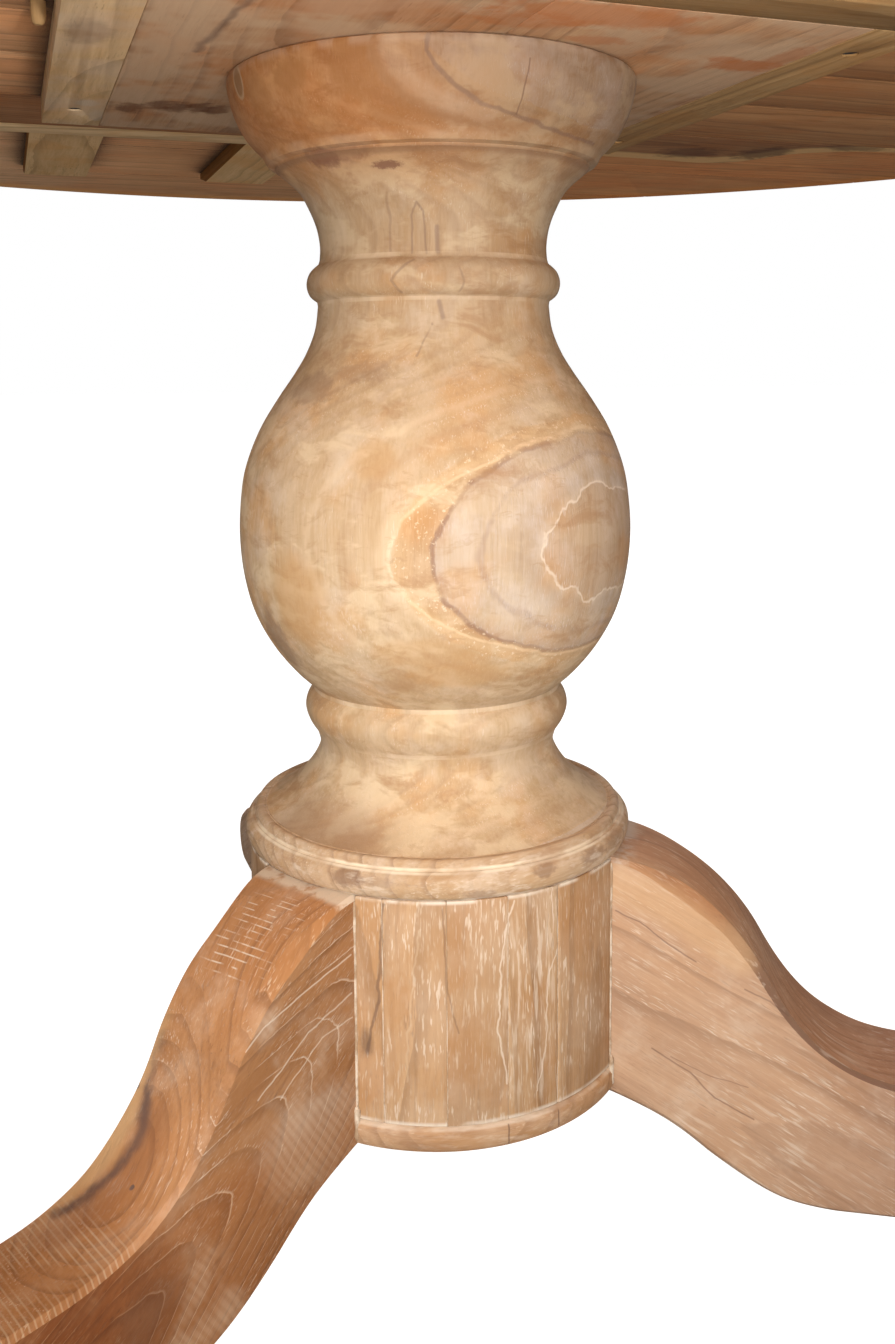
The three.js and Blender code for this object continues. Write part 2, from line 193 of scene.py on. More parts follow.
def piece(name, shape, material, node, angle=32):
    """Turns a bmesh into a smooth-shaded piece whose edges over that angle stay crisp.

    It stands for that CAD node, if one is given, and hides it.
    """
    bmesh.ops.recalc_face_normals(shape, faces=shape.faces)
    mesh = bpy.data.meshes.new(name)
    shape.to_mesh(mesh)
    shape.free()
    mesh.polygons.foreach_set("use_smooth", [True] * len(mesh.polygons))
    mesh.set_sharp_from_angle(angle=math.radians(angle))
    mesh.materials.append(material)
    made = bpy.data.objects.new(name, mesh)
    bpy.context.scene.collection.objects.link(made)
    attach(made, "root")
    if node:
        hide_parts(node)


def skin(shape, rings, around=True):
    """Faces from each row of vertices to the next; a row of one vertex gets triangles."""
    for a, b in zip(rings, rings[1:]):
        count = max(len(a), len(b))
        for k in range(count if around else count - 1):
            n = (k + 1) % count
            corners = (a[k % len(a)], a[n % len(a)], b[n % len(b)], b[k % len(b)])
            shape.faces.new(tuple(dict.fromkeys(corners)))


def lathe(profile, segments, wobble=0.0, closed=True):
    """A bmesh turned about Z from (radius, height) pairs in millimetres."""
    shape = bmesh.new()
    rings = []
    for r, z in profile:
        if r < 1e-6:
            rings.append([shape.verts.new((0, 0, z * MM))])
            continue
        ring = []
        for k in range(segments):
            a = 2 * math.pi * k / segments
            out = Vector((math.cos(a), math.sin(a), 0))
            place = Vector((out.x * 3, out.y * 3, z * 0.02))
            grow = wobble * noise.noise(place)
            ring.append(shape.verts.new((out * (r + grow) + Vector((0, 0, z))) * MM))
        rings.append(ring)
    skin(shape, rings + rings[:1] if closed else rings)
    return shape


def prism(outline, low, high):
    """A bmesh of an outline in X and Y, in metres, from one height to another."""
    shape = bmesh.new()
    bottom = [shape.verts.new((x, y, low)) for x, y in outline]
    top = [shape.verts.new((x, y, high)) for x, y in outline]
    shape.faces.new(bottom)
    shape.faces.new(top)
    skin(shape, [bottom, top])
    return shape


def eased(node, width, edge_angle=30):
    """A copy of a CAD node's solid with its sharp edges eased by that many millimetres."""
    shape = bmesh.new()
    shape.from_mesh(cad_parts[node].data)
    bmesh.ops.remove_doubles(shape, verts=shape.verts, dist=0.02 * MM)
    bmesh.ops.dissolve_limit(
        shape, angle_limit=math.radians(0.5), verts=shape.verts, edges=shape.edges
    )
    bmesh.ops.recalc_face_normals(shape, faces=shape.faces)
    sharp = [e for e in shape.edges if len(e.link_faces) == 2
             and e.calc_face_angle() > math.radians(edge_angle)]
    bmesh.ops.bevel(
        shape, geom=sharp, offset=width * MM, segments=2, affect="EDGES",
        profile=0.5, clamp_overlap=True, offset_type="OFFSET",
    )
    return shape


def boolean(shape, cutter, operation):
    """The result of a boolean between two bmeshes, as a new bmesh."""
    objects = []
    for label, source in (("a", shape), ("b", cutter)):
        bmesh.ops.recalc_face_normals(source, faces=source.faces)
        mesh = bpy.data.meshes.new("boolean_" + label)
        source.to_mesh(mesh)
        source.free()
        made = bpy.data.objects.new("boolean_" + label, mesh)
        bpy.context.scene.collection.objects.link(made)
        objects.append(made)
    modifier = objects[0].modifiers.new("boolean", "BOOLEAN")
    modifier.operation = operation
    modifier.solver = "EXACT"
    modifier.object = objects[1]
    graph = bpy.context.evaluated_depsgraph_get()
    result = bmesh.new()
    result.from_object(objects[0], graph)
    for made in objects:
        mesh = made.data
        bpy.data.objects.remove(made)
        bpy.data.meshes.remove(mesh)
    return result


def turned(shape, angle):
    """The same bmesh, turned about +Z by that many degrees."""
    turn = Matrix.Rotation(math.radians(angle), 3, "Z")
    bmesh.ops.rotate(shape, verts=shape.verts, cent=(0, 0, 0), matrix=turn)
    return shape


# ---------------------------------------------------------------- materials
LIME = (0.78, 0.66, 0.52)
UP = (0, 0, 1)


class Graph:
    """A material's node tree, and the colour painted in it so far.

    Arguments are sockets or plain values. Lengths are millimetres, and masks run from 0 to 1.
    """

    def __init__(self, name, pith=(0, 0, 0), direction=UP, seed=1):
        self.material = bpy.data.materials.new(name)
        self.material.use_nodes = True
        self.tree = self.material.node_tree
        self.shader = self.tree.nodes["Principled BSDF"]
        where = self.node("ShaderNodeTexCoord").outputs["Object"]
        self.place = self.vector("SCALE", where, scale=1000)
        turn = Vector(direction).normalized().to_track_quat("Z", "Y").to_euler("XYZ")
        self.log = self.unturned(self.place, turn, pith)
        self.normal = self.node("ShaderNodeNewGeometry").outputs["Normal"]
        self.log_normal = self.unturned(self.normal, turn)
        shift = (seed * 131.7, seed * 57.3, seed * 211.9)
        self.drift = self.vector("ADD", self.place, shift)
        self.log_drift = self.vector("ADD", self.log, shift)
        self.up = self.along(UP, self.normal)

    def node(self, kind, **settings):
        made = self.tree.nodes.new(kind)
        for key, value in settings.items():
            setattr(made, key, value)
        return made

    def feed(self, socket, value):
        if isinstance(value, bpy.types.NodeSocket):
            self.tree.links.new(value, socket)
        elif value is not None:
            socket.default_value = value

    def unturned(self, value, turn, origin=(0, 0, 0)):
        """A place or a direction in the log's own terms, where Z runs along the fibres."""
        made = self.node("ShaderNodeMapping", vector_type="TEXTURE")
        made.inputs["Location"].default_value = origin
        made.inputs["Rotation"].default_value = turn
        self.feed(made.inputs["Vector"], value)
        return made.outputs["Vector"]

    def math(self, operation, a, b=None, c=None, clamp=False):
        made = self.node("ShaderNodeMath", operation=operation, use_clamp=clamp)
        for socket, value in zip(made.inputs, (a, b, c)):
            self.feed(socket, value)
        return made.outputs[0]

    def vector(self, operation, a, b=None, scale=None):
        made = self.node("ShaderNodeVectorMath", operation=operation)
        self.feed(made.inputs[0], a)
        self.feed(made.inputs[1], b)
        if scale is not None:
            self.feed(made.inputs["Scale"], scale)
        number = operation in ("LENGTH", "DOT_PRODUCT")
        return made.outputs["Value" if number else "Vector"]

    def along(self, direction, value):
        return self.vector("DOT_PRODUCT", value, direction)

    def noise(self, at, cells, detail=2, rough=0.5, colour=False):
        """Noise in 0..1 with that many cells a millimetre, the same or along each axis."""
        made = self.node("ShaderNodeTexNoise")
        each = isinstance(cells, tuple)
        self.feed(made.inputs["Vector"], self.vector("MULTIPLY", at, cells) if each else at)
        made.inputs["Scale"].default_value = 1 if each else cells
        made.inputs["Detail"].default_value = detail
        made.inputs["Roughness"].default_value = rough
        return made.outputs["Color" if colour else "Fac"]

    def step(self, value, low, high, to_low=0, to_high=1):
        """A smooth step: to_low at low and before, to_high at high and after."""
        made = self.node("ShaderNodeMapRange", interpolation_type="SMOOTHSTEP")
        for key, number in (("Value", value), ("From Min", low), ("From Max", high),
                            ("To Min", to_low), ("To Max", to_high)):
            self.feed(made.inputs[key], number)
        return made.outputs["Result"]

    def mix(self, factor, a, b, blend="MIX"):
        made = self.node("ShaderNodeMix", data_type="RGBA", blend_type=blend)
        for socket, value in ((0, factor), (6, a), (7, b)):
            self.feed(made.inputs[socket], (*value, 1) if isinstance(value, tuple) else value)
        return made.outputs[2]

    def times(self, *values):
        found = values[0]
        for value in values[1:]:
            found = self.math("MULTIPLY", found, value)
        return found

    def less(self, mask):
        return self.math("SUBTRACT", 1, mask)

    def paint(self, tone, *masks):
        """Lays a tone on the colour so far, by the product of the masks."""
        self.colour = self.mix(self.times(*masks), self.colour, tone)

    def tint(self, tone, *masks):
        """Multiplies the colour so far by a tone, by the product of the masks."""
        self.colour = self.mix(self.times(*masks), self.colour, tone, "MULTIPLY")

    def swayed(self, base, at, cells, detail, rough, amount):
        """A place moved about unevenly, over that many millimetres."""
        shift = self.vector("SUBTRACT", self.noise(at, cells, detail, rough, True), (0.5, 0.5, 0.5))
        return self.vector("ADD", base, self.vector("SCALE", shift, scale=amount))

    def wavy(self, amount, cells):
        return self.swayed(self.place, self.drift, cells, 2, 0.5, 2 * amount)

    # Marks on the wood. Each gives a mask.
    def blotch(self, cells, low, high, detail=3, rough=0.5, least=0):
        return self.step(self.noise(self.drift, cells, detail, rough), low, high, least)

    def cloud(self, sway, shift, cells, detail, rough, low, high):
        at = self.vector("ADD", self.wavy(*sway), shift)
        return self.step(self.noise(at, cells, detail, rough), low, high)

    def fleck(self, across, along, low, high):
        """Short flecks along the fibres."""
        return self.step(self.noise(self.log_drift, (across, across, along), 2, 0.6), low, high)

    def spot(self, centre, radii, ragged=0.5, soft=0.35):
        away = self.vector("DIVIDE", self.vector("SUBTRACT", self.place, centre), radii)
        uneven = self.math("SUBTRACT", self.noise(self.drift, 0.9 / min(radii), 4, 0.65), 0.5)
        far = self.math("MULTIPLY_ADD", uneven, 2 * ragged, self.vector("LENGTH", away))
        return self.step(far, 1 + soft, 1 - soft)

    def line(self, points, width, wave=1.2, soft=0.6, cells=0.09):
        """A line drawn on the surface near the points; how deep they lie matters only past 8 mm."""
        at = self.wavy(wave, cells)
        nearest = None
        for start, end in zip(points, points[1:]):
            reach = Vector(end) - Vector(start)
            away = self.vector("SUBTRACT", at, start)
            share = self.math("MULTIPLY", self.along(tuple(reach), away),
                              1 / reach.length_squared, clamp=True)
            gap = self.vector("SUBTRACT", away, self.vector("SCALE", tuple(reach), scale=share))
            whole = self.vector("LENGTH", gap)
            deep = self.along(self.normal, gap)
            flat = self.math("SUBTRACT", self.times(whole, whole), self.times(deep, deep))
            flat = self.math("SQRT", self.math("MAXIMUM", flat, 0))
            far = self.math("MAXIMUM", flat, self.math("SUBTRACT", whole, 8))
            nearest = far if nearest is None else self.math("MINIMUM", nearest, far)
        return self.step(nearest, width * (1 + soft), width * (1 - soft))

    def ring(self, distance, width, soft=0.8):
        """A growth ring at that distance from the pith, as a line that wide on the surface."""
        off = self.math("ABSOLUTE", self.math("SUBTRACT", self.distance, distance))
        off = self.math("DIVIDE", off, self.tilt)
        return self.step(off, width * (1 + soft), width * (1 - soft))

    def beyond(self, distance, blur):
        """Wood further from the pith than that distance."""
        return self.step(self.distance, distance - blur, distance + blur)

    def fade(self, direction, start, end):
        """0 up to start and 1 past end, measured along a direction; or back, where end is less."""
        return self.step(self.along(direction, self.place), start, end)

    def between(self, low, low_full, high_full, high):
        """A band of heights."""
        return self.times(self.fade(UP, low, low_full), self.fade(UP, high, high_full))

    def radial(self, start, end):
        """0 up to start and 1 past end, measured from the object's axis."""
        flat = self.vector("MULTIPLY", self.place, (1, 1, 0))
        return self.step(self.vector("LENGTH", flat), start, end)

    def upward(self, low=0.3, high=0.62):
        return self.step(self.up, low, high)

    def bevel(self, direction):
        """Upward chamfers and eased edges, between the faces across a direction and along it."""
        facing = self.along(direction, self.normal)
        facet = self.times(self.step(facing, 0.25, 0.5), self.step(facing, 0.97, 0.88))
        return self.times(facet, self.upward(0.05, 0.2))

    def strokes(self, direction, pitch, share, wave):
        """Parallel saw marks across a direction, at that pitch."""
        at = self.wavy(wave * pitch, 0.15 / pitch)
        turn = self.math("FRACT", self.math("DIVIDE", self.along(direction, at), pitch))
        off = self.math("ABSOLUTE", self.math("SUBTRACT", turn, 0.5))
        return self.step(off, share, share * 0.3)

    # The same, painted from tables.
    def spots(self, tone, rows, ragged=0.5, soft=0.35):
        """Rows of centre, radii and strength."""
        for centre, radii, strength in rows:
            self.paint(tone, self.spot(centre, radii, ragged, soft), strength)

    def lines(self, rows):
        """Rows of points, width, wave, strength and tone."""
        for points, width, wave, strength, tone in rows:
            self.paint(tone, self.line(points, width, wave), strength)

    def finish(self, rough, height, strength, distance):
        """Connects the colour, the roughness and the relief, and gives the material."""
        relief = self.node("ShaderNodeBump")
        relief.inputs["Strength"].default_value = strength
        relief.inputs["Distance"].default_value = distance
        self.feed(relief.inputs["Height"], height)
        self.feed(self.shader.inputs["Base Color"], self.colour)
        self.feed(self.shader.inputs["Roughness"], rough)
        self.feed(self.shader.inputs["Normal"], relief.outputs["Normal"])
        return self.material


def wood(name, pith, direction, tones, marks=None, ring=5.6, phase=0, ring_strength=0.5, waves=5,
         patches=0.5, patch_size=60, pores=0.45, pore_size=1, lime=0.5, film=0.25, bump=0.35, seed=1,
         crisp=0.955, streaks=0.3, ragged=0, pale=LIME, gloss=0.32):
    """Limed teak from one log: rings about a pith line, fibres, open pores and lime in them."""
    light, mid, dark, blush = tones
    g = Graph(name, pith, direction, seed)
    bent = g.swayed(g.log, g.log_drift, (0.01, 0.01, 0.0036), 2, 0.5, 2 * waves)
    bent = g.swayed(bent, g.log_drift, (0.05, 0.05, 0.02), 3, 0.6, min(2.6, 0.45 * ring + 0.8))
    if ragged:
        for share, cells in ((1, 0.035), (0.22, 0.16)):
            bent = g.swayed(bent, g.log_drift, cells, 3, 0.6, 2 * ragged * share)
    spoke = g.vector("MULTIPLY", bent, (1, 1, 0))
    g.distance = g.vector("LENGTH", spoke)
    facing = g.along(g.vector("NORMALIZE", spoke), g.log_normal)
    g.tilt = g.math("SQRT", g.math("MAXIMUM", g.less(g.times(facing, facing)), 0.02))
    turns = g.math("MULTIPLY_ADD", g.distance, 1 / ring, phase)
    g.part = g.math("FRACT", turns)
    chance = g.node("ShaderNodeTexWhiteNoise", noise_dimensions="1D")
    g.feed(chance.inputs["W"], g.math("FLOOR", turns))
    luck = g.step(chance.outputs["Value"], 0, 1, 0.15, 1)
    late = g.times(g.step(g.part, crisp - 0.41, crisp), g.step(g.part, 1, crisp + 0.01))
    early = g.step(g.part, 0.42, 0.02)
    broad = g.noise(bent, (0.045, 0.045, 0.003))
    fibre = g.noise(g.vector("ADD", bent, (seed * 17, 3, 5)), (0.5, 0.5, 0.02), 3, 0.62)
    g.colour = light
    g.paint(mid, g.step(g.math("MULTIPLY_ADD", broad, 0.62, g.times(fibre, 0.38)), 0.36, 0.64))
    g.paint(blush, g.blotch(1 / patch_size, 0.47, 0.66, 3, 0.55), patches)
    g.paint(dark, late, luck, ring_strength)
    streak = g.noise(g.log_drift, (0.21, 0.21, 0.006), 3, 0.6)
    g.paint(dark, g.step(streak, 0.56, 0.74), streaks)
    pore = g.noise(g.log_drift, (0.95 / pore_size, 0.95 / pore_size, 0.1 / pore_size), 1)
    pore = g.times(g.step(pore, 0.56, 0.7), g.math("MULTIPLY_ADD", early, 0.75, 0.35))
    limed = g.blotch(0.022, 0.36, 0.6, 3, 0.6)
    g.paint(dark, pore, pores, g.less(limed))
    g.paint(pale, pore, lime, limed)
    g.paint(pale, g.blotch(0.031, 0.46, 0.72, 4, 0.65), film)
    if marks:
        marks(g)
    g.shader.inputs["Specular IOR Level"].default_value = gloss
    relief = g.math("MULTIPLY_ADD", pore, -0.7, g.times(fibre, 0.7))
    return g.finish(g.step(fibre, 0.2, 0.8, 0.61, 0.77), relief, bump, 0.0006)


def leg_point(angle, out, side, rise):
    """A place or a direction given in a leg's own terms, in the object's frame."""
    a = math.radians(angle)
    return (out * math.cos(a) - side * math.sin(a), out * math.sin(a) + side * math.cos(a), rise)


def leg_points(angle, points):
    return [leg_point(angle, *p) for p in points]


# Each wood's light, middle, dark and reddish tone.
COLUMN_TONES = ((0.615, 0.45, 0.28), (0.52, 0.35, 0.19), (0.27, 0.15, 0.08), (0.6, 0.34, 0.145))
RING_TONES = ((0.6, 0.43, 0.28), (0.5, 0.32, 0.17), (0.26, 0.14, 0.07), (0.5, 0.3, 0.14))
HUB_TONES = ((0.53, 0.325, 0.165), (0.43, 0.24, 0.11), (0.21, 0.105, 0.045), (0.45, 0.225, 0.09))
LEFT_TONES = ((0.4, 0.2, 0.085), (0.32, 0.148, 0.056), (0.16, 0.07, 0.03), (0.35, 0.15, 0.052))
RIGHT_TONES = ((0.56, 0.36, 0.225), (0.46, 0.28, 0.17), (0.27, 0.15, 0.085), (0.49, 0.28, 0.15))
TOP_TONES = ((0.82, 0.44, 0.21), (0.7, 0.355, 0.165), (0.3, 0.145, 0.065), (0.8, 0.34, 0.14))
PANEL_TONES = ((0.82, 0.45, 0.2), (0.66, 0.33, 0.14), (0.26, 0.12, 0.055), (0.74, 0.32, 0.115))
PLATE_TONES = ((0.58, 0.36, 0.2), (0.49, 0.275, 0.147), (0.2, 0.097, 0.05), (0.58, 0.24, 0.087))
PALE_TONES = ((0.84, 0.6, 0.33), (0.7, 0.47, 0.24), (0.32, 0.18, 0.08), (0.74, 0.42, 0.17))
UNDER_FILM = (0.66, 0.46, 0.28)
CRACK = (0.24, 0.15, 0.1)
# The colour of the painted shade in corners and gaps under the top.
GAP_SHADE = (0.03, 0.019, 0.012)


def column_marks(g):
    # The oval figure at the bulb's right, where the turning cuts the outermost rings.
    broken = g.blotch(0.06, 0.3, 0.52, 3, 0.6, 0.35)
    bulb = g.between(318, 330, 488, 500)
    g.tint((0.99, 1.06, 1.24), g.beyond(144.8, 0.25))
    g.tint((0.9, 0.83, 0.76), g.beyond(155.5, 0.2), bulb)
    g.paint((0.25, 0.155, 0.12), g.ring(144.7, 1.5, 0.6), broken, bulb, 0.66)
    g.paint((0.36, 0.22, 0.16), g.ring(145, 4.5, 0.9), bulb, 0.24)
    g.paint((0.34, 0.22, 0.17), g.ring(150.2, 1.6, 0.9), broken, bulb, 0.34)
    rise = g.math("SUBTRACT", g.along((0, 0, 0.02), g.place), 8.14)
    pale_ring = g.math("ADD", g.math("MINIMUM", g.times(rise, rise, 4.4), 4.6), 138.9)
    g.paint((0.84, 0.68, 0.47), g.ring(pale_ring, 1.1, 0.7), broken, broken, bulb, 0.62)
    g.paint((0.8, 0.63, 0.42), g.ring(g.math("SUBTRACT", pale_ring, 0.9), 5), bulb, 0.38)
    band = g.times(g.beyond(139.5, 0.4), g.less(g.beyond(145, 0.4)), bulb)
    g.tint((0.97, 0.86, 0.72), band, 0.75)
    g.paint((0.84, 0.7, 0.5), band, g.blotch(0.42, 0.58, 0.68, 2, 0.7), 0.55)
    g.paint((0.4, 0.23, 0.12), g.ring(132.5, 3), 0.22)
    g.paint((0.78, 0.6, 0.4), g.ring(125, 2.2), broken, 0.3)
    g.paint((0.84, 0.71, 0.56), g.ring(155.4, 0.7), broken, bulb, 0.6)
    # Cream and brown clouds, drawn out across the log, and orange heartwood patches.
    calm = g.less(g.times(g.beyond(144.8, 1), bulb, 0.7))
    cream = g.cloud((16, 0.018), (410, 70, 250), (0.021, 0.021, 0.04), 4, 0.62, 0.5, 0.62)
    brown = g.cloud((20, 0.02), (90, 330, 40), (0.016, 0.016, 0.052), 5, 0.66, 0.53, 0.68)
    wisp = g.cloud((9, 0.05), (700, 130, 20), (0.035, 0.035, 0.11), 5, 0.7, 0.56, 0.66)
    g.paint((0.76, 0.6, 0.39), cream, calm, 0.58)
    g.paint((0.41, 0.225, 0.1), brown, 0.55)
    g.paint((0.4, 0.22, 0.105), wisp, 0.3)
    g.spots((0.55, 0.3, 0.11), (
        ((-102, -60, 379), (22, 22, 26), 0.55), ((-66, -92, 459), (12, 12, 11), 0.35),
        ((-44, -102, 352), (30, 20, 9), 0.35), ((-20, -100, 338), (30, 20, 8), 0.45),
    ))
    g.spots((0.27, 0.165, 0.1), (
        ((-85, -32, 497), (26, 22, 9), 0.5), ((-62, -58, 506), (22, 18, 6), 0.35),
        ((-104, -24, 350), (14, 12, 26), 0.6),
    ), 0.9)
    # The neck and head darken with height: partly their own browner wood, partly painted shade where less
    # light reaches them. Towards the head's left the tone is warmed and lifted again in red, as painted
    # light where the side lamp doesn't reach.
    head_shade = g.fade(UP, 600, 640)
    g.tint((0.8, 0.77, 0.75), g.fade(UP, 490, 580))
    g.tint((0.72, 0.64, 0.58), head_shade, 0.95)
    g.tint((1.32, 0.98, 0.68), head_shade, g.fade((-0.9, 0.42, 0), -70, 60))
    # Brown patches on the head, darker ones just under it at its left, and a knot.
    g.spots((0.36, 0.155, 0.05), (
        ((-102, -65, 664), (14, 14, 7), 0.7), ((-115, -35, 658), (13, 13, 13), 0.55),
        ((-75, -95, 664), (13, 13, 17), 0.55), ((-56, -98, 647), (14, 14, 12), 0.4),
    ), 0.7)
    g.spots((0.2, 0.085, 0.05), (
        ((-80, -46, 625), (13, 13, 5), 0.7), ((-49, -68, 619), (8, 8, 2), 0.8),
        ((-70, -55, 626), (20, 20, 4), 0.4),
    ), 0.8)
    knot = (-121, -16, 669)
    g.paint((0.52, 0.36, 0.2), g.spot(knot, (7, 7, 10), 0.15, 0.12), 0.8)
    g.paint((0.33, 0.17, 0.075), g.spot(knot, (5.4, 5.4, 8), 0.15, 0.15))
    g.lines((
        ([(-41, -116, 678), (-42, -115, 670), (-36, -115, 662), (-24, -114, 652), (-10, -112, 645.5),
          (9, -109, 642), (40, -97, 637), (74, -72, 636)], 1.2, 2.2, 0.55, (0.2, 0.11, 0.075)),
        ([(13, -121, 668), (10, -109, 642)], 0.45, 0.8, 0.6, (0.17, 0.085, 0.05)),
        ([(-66, -103, 678), (-66, -101, 668), (-58, -101, 656), (-40, -103, 645), (-14, -106, 639),
          (20, -104, 636)], 2.4, 3.5, 0.5, (0.36, 0.18, 0.08)),
        ([(-58, -107, 678), (-58, -105, 670), (-50, -105, 659), (-32, -106, 649), (-8, -108, 642.5)],
         5, 3, 0.16, (0.78, 0.6, 0.42)),
        ([(-33, -61, 572), (-34, -63, 593), (-32, -66, 600), (-28, -66, 595), (-26, -65, 572)],
         0.6, 0.8, 0.45, (0.2, 0.12, 0.09)),
        ([(-46, -58, 606), (-44, -54, 574)], 0.8, 1.5, 0.4, (0.24, 0.14, 0.09)),
        ([(-20, -66, 587), (-20, -67, 573)], 1.2, 0.8, 0.5, (0.22, 0.14, 0.11)),
        ([(-34, -66, 569), (-44, -64, 561), (-46, -62, 557), (-40, -62, 550)], 0.8, 0.8, 0.45, CRACK),
        ([(-12, -78, 569), (-8, -77, 556), (-10, -74, 549)], 0.6, 0.8, 0.4, CRACK),
        ([(-26, -74, 534), (-33, -76, 525), (-37, -78, 519)], 0.7, 1.6, 0.45, CRACK),
        ([(-20, -69, 545), (-19, -72, 537)], 1.4, 1, 0.5, (0.22, 0.14, 0.11)),
    ))
    # Lime left on the sharp rims and in the cut lines.
    g.paint((0.62, 0.46, 0.33), g.fade(UP, 672, 677), g.blotch((0.11, 0.11, 0.05), 0.38, 0.62), 0.3)
    worn = g.blotch(0.04, 0.36, 0.62)
    for low, high in ((546.6, 549), (570.4, 573), (282.4, 284.6), (309.8, 312.4)):
        g.paint((0.74, 0.58, 0.4), g.between(low - 0.6, low, high, high + 0.6), worn, 0.45)
    # Painted shade in the crease under the capital; the pale band above it is partly lime and partly a
    # painted highlight on the step.
    level = g.along(UP, g.wavy(1.2, 0.03))
    g.paint((0.27, 0.145, 0.075), g.step(level, 623.4, 625.6), g.step(level, 628.6, 626.4), 0.62)
    g.paint((0.66, 0.48, 0.31), g.step(level, 627.6, 629), g.step(level, 634.6, 632), worn, 0.25)
    # Painted shade on the dish's left at its foot, darkening towards the ring.
    g.paint((0.33, 0.2, 0.115), g.fade(UP, 262, 240), g.spot((-95, -60, 243), (48, 48, 22)), 0.6)


def ring_marks(g):
    g.spots((0.22, 0.12, 0.07), (
        ((-84, -89, 226), (9, 9, 5), 0.65), ((-72, -100, 226), (12, 12, 3), 0.3),
        ((23, -119, 227), (7, 7, 4), 0.55), ((60, -106, 226), (12, 12, 4), 0.5),
        ((82, -90, 226), (12, 12, 4), 0.4), ((-16, -121, 219), (10, 10, 2.5), 0.4),
    ), 0.8)
    # White filler in the groove between the half round and the lip.
    groove = g.times(g.between(229.9, 230.9, 232.4, 233.6), g.radial(114.9, 115.5))
    worn = g.math("MULTIPLY_ADD", g.blotch(0.035, 0.36, 0.56), 0.65, 0.1)
    g.paint((0.88, 0.76, 0.57), groove, worn)
    g.paint((0.34, 0.175, 0.08), g.blotch((0.022, 0.022, 0.11), 0.52, 0.66, 4, 0.65), 0.4)
    g.paint(LIME, g.blotch((0.05, 0.05, 0.16), 0.52, 0.68, 4, 0.65), g.radial(112, 117), 0.45)
    g.paint((0.8, 0.7, 0.58), g.fade(UP, 217.6, 216), g.blotch(0.05, 0.4, 0.6), 0.7)


def hub_marks(g):
    g.lines((
        ([(4, -119, 212), (-3, -119, 185), (-5, -119, 136), (0, -119, 105)], 0.5, 2.6, 0.6, LIME),
        ([(33, -114, 206), (33, -114, 178), (26, -117, 160), (25, -117, 120), (19, -118, 97)],
         0.45, 2.6, 0.55, LIME),
        ([(-66, -99, 212), (-69, -97, 156), (-75, -93, 124)], 0.9, 2.2, 0.6, (0.13, 0.07, 0.045)),
        ([(-36, -114, 211), (-34, -114, 163), (-28, -116, 139)], 0.5, 1.5, 0.5, (0.2, 0.11, 0.06)),
        ([(-48, -109, 200), (-53, -107, 160), (-56, -106, 110)], 0.6, 2.4, 0.35, (0.62, 0.46, 0.3)),
    ))
    worn = g.blotch(0.02, 0.4, 0.6)
    limed_stave = g.spot((15, -118, 150), (19, 12, 62), 0.25)
    g.paint(LIME, limed_stave, g.fleck(0.42, 0.035, 0.5, 0.64), 0.45)
    g.paint(LIME, g.fleck(0.62, 0.08, 0.57, 0.66), worn, 0.6)
    g.paint(LIME, worn, 0.12)
    g.paint((0.13, 0.075, 0.05), g.spot((-75, -93, 130), (4, 4, 8), 0.6, 0.6), 0.55)
    # Lime under the ring and above the band.
    joint = g.math("ADD", g.fade(UP, 212.6, 214.8), g.fade(UP, 87, 84.6))
    g.paint((0.84, 0.75, 0.62), joint, g.blotch(0.05, 0.38, 0.6), 0.75)


def band_marks(g):
    g.tint((0.86, 0.76, 0.68), 1)
    g.paint((0.8, 0.7, 0.56), g.fade(UP, 80.8, 82.2), g.blotch(0.04, 0.34, 0.56), 0.45)
    g.paint(LIME, g.blotch((0.05, 0.05, 0.2), 0.5, 0.68, 4, 0.65), 0.25)
    g.paint((0.3, 0.15, 0.07), g.blotch((0.018, 0.018, 0.09), 0.5, 0.66, 4, 0.65), 0.45)
    cracks = ((0, -121), (33, -117))
    g.lines(([(x, y, 66), (x, y, 86)], 0.5, 0.6, 0.7, (0.15, 0.08, 0.05)) for x, y in cracks)


